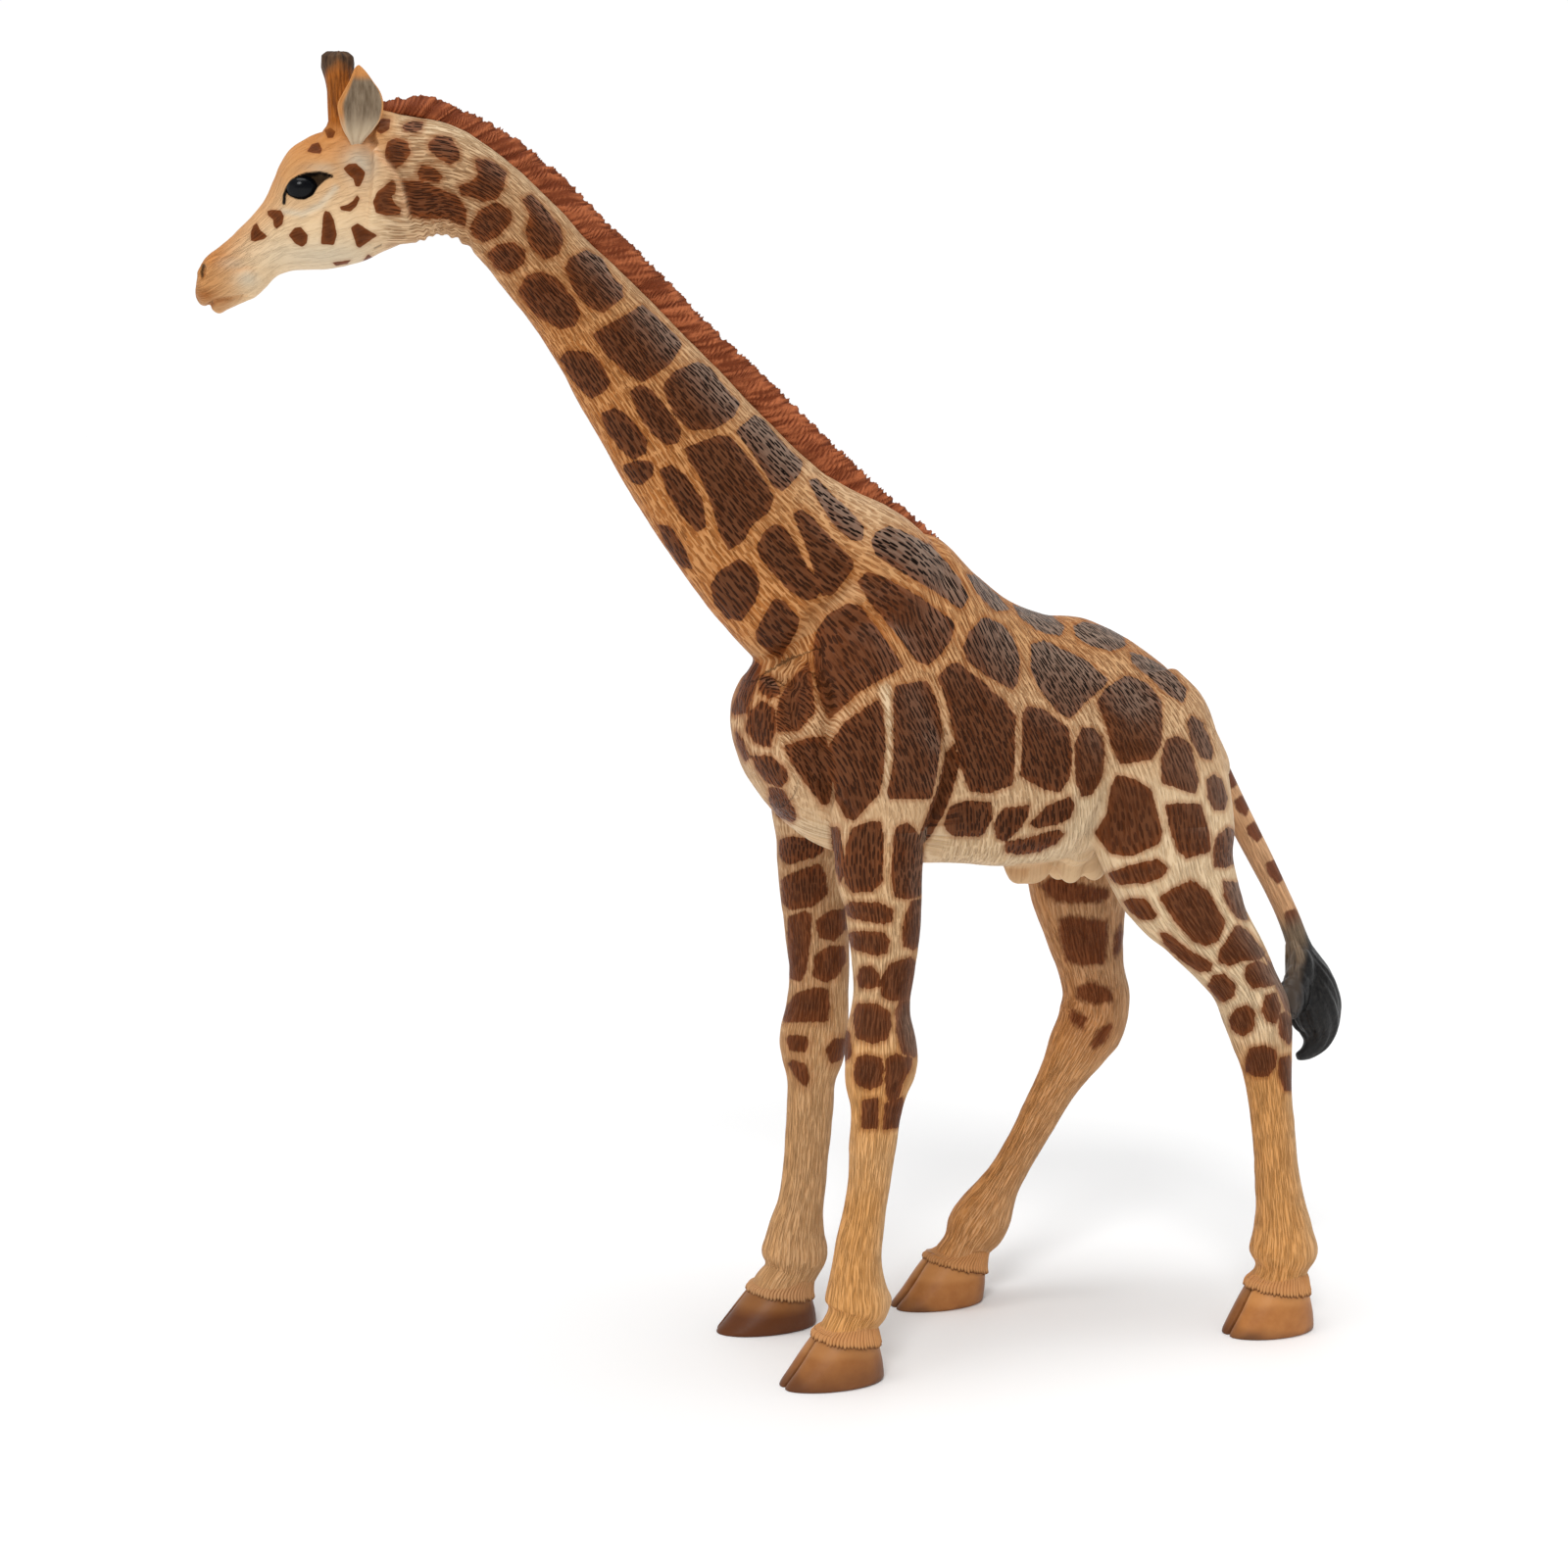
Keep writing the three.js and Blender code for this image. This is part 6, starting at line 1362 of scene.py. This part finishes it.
for side, label in ((1, "left"), (-1, "right")):
    rows = resample(EAR_OUTLINE, 120)
    w = np.linspace(-1, 1, 60)
    th = np.linspace(0, 2 * math.pi, 140, endpoint=False)
    ww = np.cos(th)
    front = np.sin(th) > 0
    ring = []
    for z0, uf, ub, s0, cup in rows:
        mid, half = (uf + ub) / 2, (uf - ub) / 2
        thick = 0.42 + 0.25 * min(1.0, max(0.0, (190 - z0) / 4))
        edge = np.abs(np.sin(th)) ** 0.55
        sheet = s0 - 0.4 + cup * ww**2 + 0.16 * cup * np.cos(3 * math.pi * ww) * (np.abs(ww) < 0.9)
        off = np.where(front, 1, -1) * thick * edge * (0.35 + 0.65 * min(1, half))
        ring.append(head_point(mid + half * ww, side * (sheet + off), z0))
    V, F = skin(np.array(ring))
    ob = new_object("ear_" + label, V, F)
    u, sd, z = head_coords(V)
    sheet_in = np.concatenate([np.tile((front * smoothstep(0.88, 0.66, ww) * smoothstep(-0.99, -0.88, ww)), len(rows)), [0, 0]])
    zin = smoothstep(185.8, 187.2, z) * smoothstep(196.4, 195.2, z)
    attribute(ob.data, "inner", sheet_in * zin)
    attribute(ob.data, "lobe", smoothstep(191.5, 187.6, z))
    attribute(ob.data, "flow_a", np.stack([u, sd * 0.5, z / 4.5], -1))
    finished(ob, "ear_" + label, ["ear_" + label], s.mat)

# ---------------------------------------------------------------- mane
n_mane, n_round = ((2200, 36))
mane_rows = [(-59.6, 2.9, 192.6, 0.5)] + [tuple(r) for r in MANE[:-1]] + [(x, 0.1, back_top(x) - 0.3 + 0.5 * half, half) for x, half in ((23.6, 1.1), (27.2, 0.7), (30.4, 0.3))]
r = resample(mane_rows, n_mane)
P, half = r[:, :3], r[:, 3]
T, S, N = frames(P)
N = np.where(N[:, 2:] > 0, N, -N)
arc = np.r_[0, np.cumsum(np.linalg.norm(np.diff(P, axis=0), axis=1))]
phi = np.linspace(0, 2 * math.pi, n_round, endpoint=False)
c, sn = np.cos(phi), np.sin(phi)
cc, ss = np.sign(c) * np.abs(c) ** (2 / 2.8), np.sign(sn) * np.abs(sn) ** (2 / 2.8)
lean = arc[:, None] - 0.95 * (1 + ss[None]) * half[:, None]


def streaks(across, along, scale, seed):
    """Ridges, 0 to 1, that wander lengthways along the hair."""
    q = np.stack([across * scale, along * scale * 0.22, np.zeros_like(across)], -1).reshape(-1, 3)
    return (1 - np.abs(2 * value_noise(q, 1.0, seed) - 1)).reshape(across.shape)


rise = np.broadcast_to(ss, lean.shape) * half[:, None] * 1.6
side_shift = np.where(cc[None] > 0, 0.0, 61.0)
drift = value_noise(np.stack([lean * 0.45 + side_shift, rise * 0.25, 0 * lean], -1).reshape(-1, 3), 1.0, 5).reshape(lean.shape)
vary = value_noise(np.stack([lean * 1.3 + side_shift, rise * 0.2, 0 * lean], -1).reshape(-1, 3), 1.0, 9).reshape(lean.shape)
wander = lean + side_shift + 0.9 * (drift - 0.5)
fine = 0.8 * streaks(wander, rise * 0.4, 3.1, 8) ** 1.6 + 0.2 * vary
clump = streaks(wander, rise * 0.6, 1.05, 6) ** 1.5
notch = streaks(wander, 0 * lean, 1.15, 7)
lock = 0.62 * fine + 0.38 * clump
top = smoothstep(0.2, 1.0, ss)[None]
height = (half + MANE_ROOT / 2)[:, None]
ends = np.minimum(1, np.minimum(np.arange(n_mane), n_mane - 1 - np.arange(n_mane)) / (n_mane * 0.03) + 0.3)[:, None]
wide = 1.42 * (1 - 0.72 * np.clip(ss, 0, 1)[None] ** 1.3) * ends + 0.5 * (lock - 0.6)
lift = top * (0.3 * (fine - 0.6) + 0.7 * (notch - 0.6))
pts = P[:, None] - N[:, None] * (MANE_ROOT / 2) + S[:, None] * (wide * cc)[..., None] + N[:, None] * (height * ss[None] + lift)[..., None]
V, F = skin(pts)
mane = new_object("mane", V, F)
up_the_lock = np.r_[np.broadcast_to(ss, lean.shape).ravel(), 0, 0]
attribute(mane.data, "lock", np.r_[lock.ravel(), 0, 0])
attribute(mane.data, "rise", up_the_lock)
attribute(mane.data, "flow_a", np.stack([np.r_[lean.ravel(), 0, 0], V[:, 1], up_the_lock * 0.45], -1))
s = Shader("mane_paint")
fiber = s.noise(s.attr("flow_a", True), 3.2, 3.0, 0.65)
tone = s.noise(s.attr("flow_a", True), 0.35, 2.0)
lit = s.mix(s.math("ADD", s.math("MULTIPLY", fiber, 0.8), s.math("MULTIPLY", tone, 0.3), clamp=True), linear(144, 70, 34), linear(208, 124, 80))
col = s.mix(s.math("MULTIPLY", s.step(s.attr("lock"), 0.3, 0.85, 1.0, 0.0), 0.85), lit, linear(100, 40, 14))
col = s.mix(s.math("MULTIPLY", s.step(s.attr("rise"), 0.75, 1.0), 0.35), col, linear(104, 58, 38))
s.set(Base_Color=col, Roughness=s.blend(fiber, 0.42, 0.58), Normal=s.bump(fiber, 0.00016))
s.bsdf.inputs["Specular IOR Level"].default_value = 0.1
finished(mane, "mane", ["mane"], s.mat)

# ---------------------------------------------------------------- hooves and their hair fringe
s = Shader("hoof_paint")
mottle = s.noise(s.attr("flow_a", True), 1.0, 3.0, 0.6)
col = s.mix(mottle, linear(150, 91, 43), linear(187, 126, 70))
col = s.mix(s.math("MULTIPLY", s.attr("low"), 0.85), col, linear(88, 56, 36))
col = s.mix(s.math("MULTIPLY", s.attr("heel"), 0.6), col, linear(104, 68, 46))
# painted highlight: a lighter band along the hoof's top edge
col = s.mix(s.math("MULTIPLY", s.attr("crown"), 0.6), col, linear(202, 142, 84))
col = s.mix(s.attr("shade"), col, linear(92, 50, 22))
col = s.mix(s.attr("cleft"), col, linear(58, 32, 18))
s.set(Base_Color=col, Roughness=s.blend(mottle, 0.38, 0.5), Normal=s.bump(mottle, 0.00010))
s.bsdf.inputs["Specular IOR Level"].default_value = 0.22
hoof_material = s.mat

s = Shader("fringe_paint")
fiber = s.noise(s.attr("flow_a", True), 1.7, 3.0, 0.6)
col = s.mix(fiber, linear(172, 112, 60), linear(212, 158, 104))
# painted shade, greying the far foreleg's fringe
col = s.mix(s.attr("painted_shade"), col, linear(184, 140, 98))
col = s.mix(s.attr("gap"), col, linear(132, 80, 40))
# painted shade under the skirt's edge, in its tucked lip and in the fold at its top
col = s.mix(s.attr("under"), col, linear(84, 46, 22))
s.set(Base_Color=col, Roughness=s.blend(fiber, 0.46, 0.58), Normal=s.bump(fiber, 0.00014))
s.bsdf.inputs["Specular IOR Level"].default_value = 0.12
fringe_material = s.mat


def hoof_outline(h, t):
    """Plan of a hoof at height share t (1 at the coronet): front, back, half width."""
    k, swell = 1 - t, 0.4 * math.sin(math.pi * min(1.0, 0.12 + 0.8 * t))
    f = h["front"][0] + (h["front"][1] - h["front"][0]) * k - 0.6 * swell
    b = h["back"][0] + (h["back"][1] - h["back"][0]) * k + 0.5 * swell
    w = h["half_top"] + (h["half_sole"] - h["half_top"]) * smoothstep(0, 0.8, k)
    return f, b, w + swell


def build_hoof(name, h):
    m = 300
    u = np.linspace(0, 1, m, endpoint=False)
    phi = -math.pi / 2 + 2 * math.pi * (u - 0.125 * np.sin(2 * math.pi * u))  # closer steps at the front
    levels = np.r_[1.12, 1.06, np.linspace(1.0, 0.1, 34), 0.06, 0.03, 0.012, 0.0, 0.0]
    shrink = np.r_[np.zeros(36), 0.05, 0.12, 0.24, 0.42, 3.2]
    c, sn = np.cos(phi), np.sin(phi)
    out = []
    for t, sh in zip(levels, shrink):
        tt = min(t, 1.0)
        f, b, w = hoof_outline(h, tt)
        cx, a = (f + b) / 2, (b - f) / 2
        x, y = cx + max(a - sh, 0.2) * sn, max(w - sh, 0.2) * np.sign(c) * np.abs(c) ** 0.94 * (1 + 0.05 * sn)
        front = smoothstep(0.2, -0.8, sn)
        away = y - h["cleft"][0]
        notch = np.exp(-((away / 0.26) ** 2)) * 1.5 + np.exp(-((away / 1.15) ** 2)) * 0.5
        x = x + notch * front * h["cleft"][1] * (0.35 + 0.65 * smoothstep(1.0, 0.5, tt)) * (sh < 1)
        zz = h["top"] * t + h["drop"] * ((cx - x) / (2 * a)) * smoothstep(0.25, 1.0, tt)
        back_notch = np.exp(-((y / 0.5) ** 2)) * 0.7 * smoothstep(0.4, 0.9, sn) * (sh < 1)
        out.append(np.stack([x - back_notch, h["y"] + y, zz], -1))
    V, F = skin(np.array(out))
    ob = new_object("hoof_" + name, V, F)
    d = V - [0, h["y"], 0]
    wander = value_noise(V, 0.45, 7) * 1.8
    toe = smoothstep(h["front"][1] + 9.5, h["front"][1] + 1.0, d[:, 0])
    attribute(ob.data, "low", smoothstep(1.2 + 2.2 * toe, 0.1, V[:, 2] + wander - 0.7) * (0.35 + 0.65 * toe))
    attribute(ob.data, "heel", smoothstep(h["back"][0] - 3.5, h["back"][1], d[:, 0]) * smoothstep(7, 2, V[:, 2]))
    # painted highlight along the hoof's top edge
    attribute(ob.data, "crown", smoothstep(h["top"] - 2.2, h["top"] - 0.8, V[:, 2] + 0.4 * wander))
    claw = smoothstep(0.0, 0.4, d[:, 1]) * smoothstep(h["front"][1] + 9, h["front"][1] + 5, d[:, 0]) * (0.6 if name == "hindleg_left" else 0.2)
    attribute(ob.data, "shade", np.maximum(np.full(len(V), h["shade"]) * (0.7 + 0.6 * smoothstep(5, 1, V[:, 2])), claw))
    attribute(ob.data, "cleft", np.exp(-(((d[:, 1] - h["cleft"][0]) / 0.2) ** 2)) * (d[:, 0] < (h["front"][0] + h["back"][0]) / 2) * 0.85 * h["cleft"][1])
    attribute(ob.data, "flow_a", V * 0.45)
    finished(ob, "hoof_" + name, [], hoof_material)

    # fringe: a flaring skirt of fine hair from the pastern down over the coronet
    rows = np.array(legs[name])
    leg_at = lambda z: [np.interp(z, rows[::-1, 2], rows[::-1, i]) for i in (0, 1, 3, 4)]
    locks = 60
    phi = np.linspace(0, 2 * math.pi, locks * 9, endpoint=False)
    rng = np.random.RandomState(len(name) + int(h["top"] * 10))
    strand = np.abs(np.sin(phi * locks / 2)) ** 0.8
    which = (phi * locks / (2 * math.pi)).astype(int)
    length, girth = rng.uniform(-0.2, 0.2, locks + 1)[which], rng.uniform(0.6, 1.4, locks + 1)[which]
    profile = [(3.7, -1.9, 0.0), (3.2, -0.8, 0.0), (2.7, -0.1, 0.3), (2.0, 0.12, 0.8), (1.3, 0.22, 1.0), (0.6, 0.34, 1.0), (0.1, 0.46, 1.0), (-0.2, 0.52, 1.0), (-0.42, 0.42, 1.0), (-0.5, 0.15, 0.8), (-0.3, -0.2, 0.3), (0.4, -1.4, 0.0)]
    profile = resample(profile, 36)
    f, b, w = hoof_outline(h, 1.0)
    hx, ha = (f + b) / 2, (b - f) / 2
    c, sn = np.cos(phi), np.sin(phi)
    out = []
    for dz, dr, k in profile:
        lx, ly, la, lb = leg_at(h["top"] + max(dz, 0.2))
        g = smoothstep(2.3, 0.1, dz)
        cx, cy = lx * (1 - g) + hx * g, ly * (1 - g) + h["y"] * g
        a, bb = la * (1 - g) + ha * g + dr, lb * (1 - g) + w * g + dr
        grow = (strand * girth - 0.5) * 0.24 * k
        x, y = cx + (a + grow) * sn, cy + (bb + grow) * c
        zz = h["top"] + dz + h["drop"] * (cx - x) / (2 * a) * max(g, 0.35) + ((0.5 - strand) * 0.3 + length) * k * smoothstep(0.9, -0.2, dz)
        out.append(np.stack([x, y, zz], -1))
    V, F = skin(np.array(out))
    ob = new_object("fringe_" + name, V, F)
    gap = np.r_[(smoothstep(0.6, 0.1, strand)[None] * np.clip(profile[:, 2:3], 0, 1)).ravel() * 0.75, 0, 0]
    # painted shade: under the skirt's lower edge, its tucked lip and the fold at its top
    under = np.r_[np.repeat(0.75 * smoothstep(0.1, -0.38, profile[:, 0]) + (profile[:, 1] < 0.1) * (profile[:, 0] < 0.6) + 0.5 * np.exp(-(((profile[:, 0] - 2.7) / 0.3) ** 2)), len(phi)), 0, 1]
    attribute(ob.data, "gap", gap)
    attribute(ob.data, "under", np.clip(under, 0, 1))
    # painted shade: strong on the far foreleg's fringe
    attribute(ob.data, "painted_shade", np.full(len(V), 0.8 if name == "foreleg_right" else 0.1))
    ang = np.r_[np.tile(phi, len(profile)), 0, 0]
    attribute(ob.data, "flow_a", np.stack([np.cos(ang) * 9, np.sin(ang) * 9, V[:, 2] / 4.0], -1))
    finished(ob, "fringe_" + name, [], fringe_material)


for name, h in HOOVES.items():
    build_hoof(name, h)

# ---------------------------------------------------------------- tail
TUFT = [(92.0, -9.0, 62.4, 1.9), (93.2, -9.6, 58.4, 3.0), (94.5, -10.2, 54.2, 4.0), (95.2, -10.6, 50.4, 4.2), (95.6, -10.9, 47.4, 3.4), (94.9, -11.2, 45.2, 2.5), (93.2, -11.4, 43.7, 1.5), (91.2, -11.5, 43.1, 0.8)]
stem = path_loft([r for r in TAIL if r[2] > 57.0], 90, 48, 2.0)
t = resample(TUFT, 90)
T, S, N = frames(t[:, :3])
core = skin(rings(t[:, :3], S, N, t[:, 3] * 0.88, t[:, 3] * 0.8, 48))
parts = [stem, core]
parts += [ellipsoid(at, XYZ, r) for at, r in (((86.5, -14.6, 53.2), (2.2, 2.1, 3.0)), ((88.4, -13.4, 53.6), (2.4, 2.2, 3.6)), ((90.2, -12.2, 54.6), (2.3, 2.4, 4.4)), ((91.7, -11.2, 56.8), (2.2, 2.7, 4.8)))]
rng = np.random.RandomState(11)
for i in range(34):
    start, stop = int(rng.uniform(0, 22)), int(rng.uniform(70, 90))
    ang = 2 * math.pi * (i * 0.382) + rng.uniform(-0.15, 0.15)
    j = np.arange(start, stop)
    q = (j - start) / max(1, stop - start - 1)
    turn = ang + 0.8 * q + 0.12 * np.sin(q * 4 + i)
    rad = t[j, 3] * (0.82 + 0.08 * np.sin(q * math.pi)) * (1 - 0.25 * q**3)
    line = t[j, :3] + S[j] * (np.cos(turn) * rad * 0.95)[:, None] + N[j] * (np.sin(turn) * rad)[:, None]
    size = (0.25 + 0.62 * np.sin(math.pi * np.clip(q * 0.86 + 0.1, 0, 1)) ** 0.8) * (0.85 + 0.3 * rng.rand()) * np.clip(t[j, 3] / 3.4, 0.5, 1.05)
    t2, s2, n2 = frames(line)
    parts.append(skin(rings(line, s2, n2, size, size * 0.8, 20)))
tail = remeshed("tail", parts, TUFT_VOXEL)
me, net, V = tail.data, Net(tail.data), positions(tail.data)
stemmy = smoothstep(60, 66, V[:, 2])
for _ in range(8):
    V += (0.25 + 0.2 * stemmy)[:, None] * (net.mean(V) - V)
set_positions(me, V)
N = normals(me)
cav = cavity_of(tail, TUFT_VOXEL)
n = len(V)
across = V[:, 0] - np.interp(V[:, 2], [48, 54, 58, 62, 66], [89.6, 90.8, 91.7, 92.6, 93.6]) - 0.45 * (V[:, 1] + 11)
black = smoothstep(-0.9, 0.9, across + 1.2 * (value_noise(V, 0.6, 3) - 0.5)) * smoothstep(66.5, 62.0, V[:, 2])
black = np.maximum(black, smoothstep(50.5, 48.5, V[:, 2]))
grey = smoothstep(68.0, 63.5, V[:, 2] + 1.5 * (value_noise(V, 0.5, 6) - 0.5))
# darker grey towards the tuft
soot = smoothstep(62.5, 56.0, V[:, 2])
flow = on_path(V, TAIL, 3.5)
for name, v in dict(coat=patch_distance(thrown(V), COAT_TAIL) - 0.3, soot=soot, flow_a=flow, flow_b=V.copy(), flow_mix=np.zeros(n), black=black, grey=grey, cavity=cav * 2).items():
    attribute(me, name, v)
s = Shader("tail_paint")
fa = s.attr("flow_a", True)
slit, h = strokes(s, fa)
coat = s.math("ADD", s.attr("coat"), s.math("MULTIPLY", s.math("SUBTRACT", s.noise(fa, 2.1, 2.0, 0.6), 0.5), 0.6))
base = s.mix(s.noise(s.attr("flow_b", True), 0.2, 2.0), linear(198, 146, 100), linear(214, 168, 126))
base = s.mix(s.math("MULTIPLY", s.step(h, 0.2, 0.62, 1.0, 0.0), 0.3), base, linear(150, 92, 50))
col = s.mix(s.step(coat, -0.2, 0.3, 1.0, 0.0), base, linear(112, 62, 36))
col = s.mix(s.attr("grey"), col, s.mix(s.attr("soot"), s.mix(h, linear(88, 72, 56), linear(128, 108, 86)), s.mix(h, linear(38, 31, 27), linear(64, 53, 44))))
hair = s.noise(s.vec("MULTIPLY", fa, (1.0, 1.0, 0.8)), 1.6, 3.0, 0.65)
ink = s.mix(s.step(hair, 0.35, 0.8), linear(12, 11, 11), linear(38, 36, 34))
# painted shade: the hollows between the tuft's strands are darkened near black
ink = s.mix(s.math("MULTIPLY", s.step(s.attr("cavity"), 0.05, 0.5), 0.7), ink, linear(8, 8, 9))
col = s.mix(s.attr("black"), col, ink)
s.set(Base_Color=col, Roughness=s.blend(s.attr("black"), 0.5, 0.34), Normal=s.bump(s.blend(s.attr("black"), h, hair), 0.00015))
s.bsdf.inputs["Specular IOR Level"].default_value = 0.25
finished(tail, "tail", ["tail"], s.mat)

# ---------------------------------------------------------------- floor paint
s = Shader("floor_paint", 0.7)
s.set(Base_Color=s.mix(s.noise(s.node("TexCoord").outputs["Object"], 3.0, 2.0), (0.93, 0.93, 0.93, 1), (0.95, 0.95, 0.95, 1)))
floor.data.materials.append(s.mat)

low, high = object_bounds()
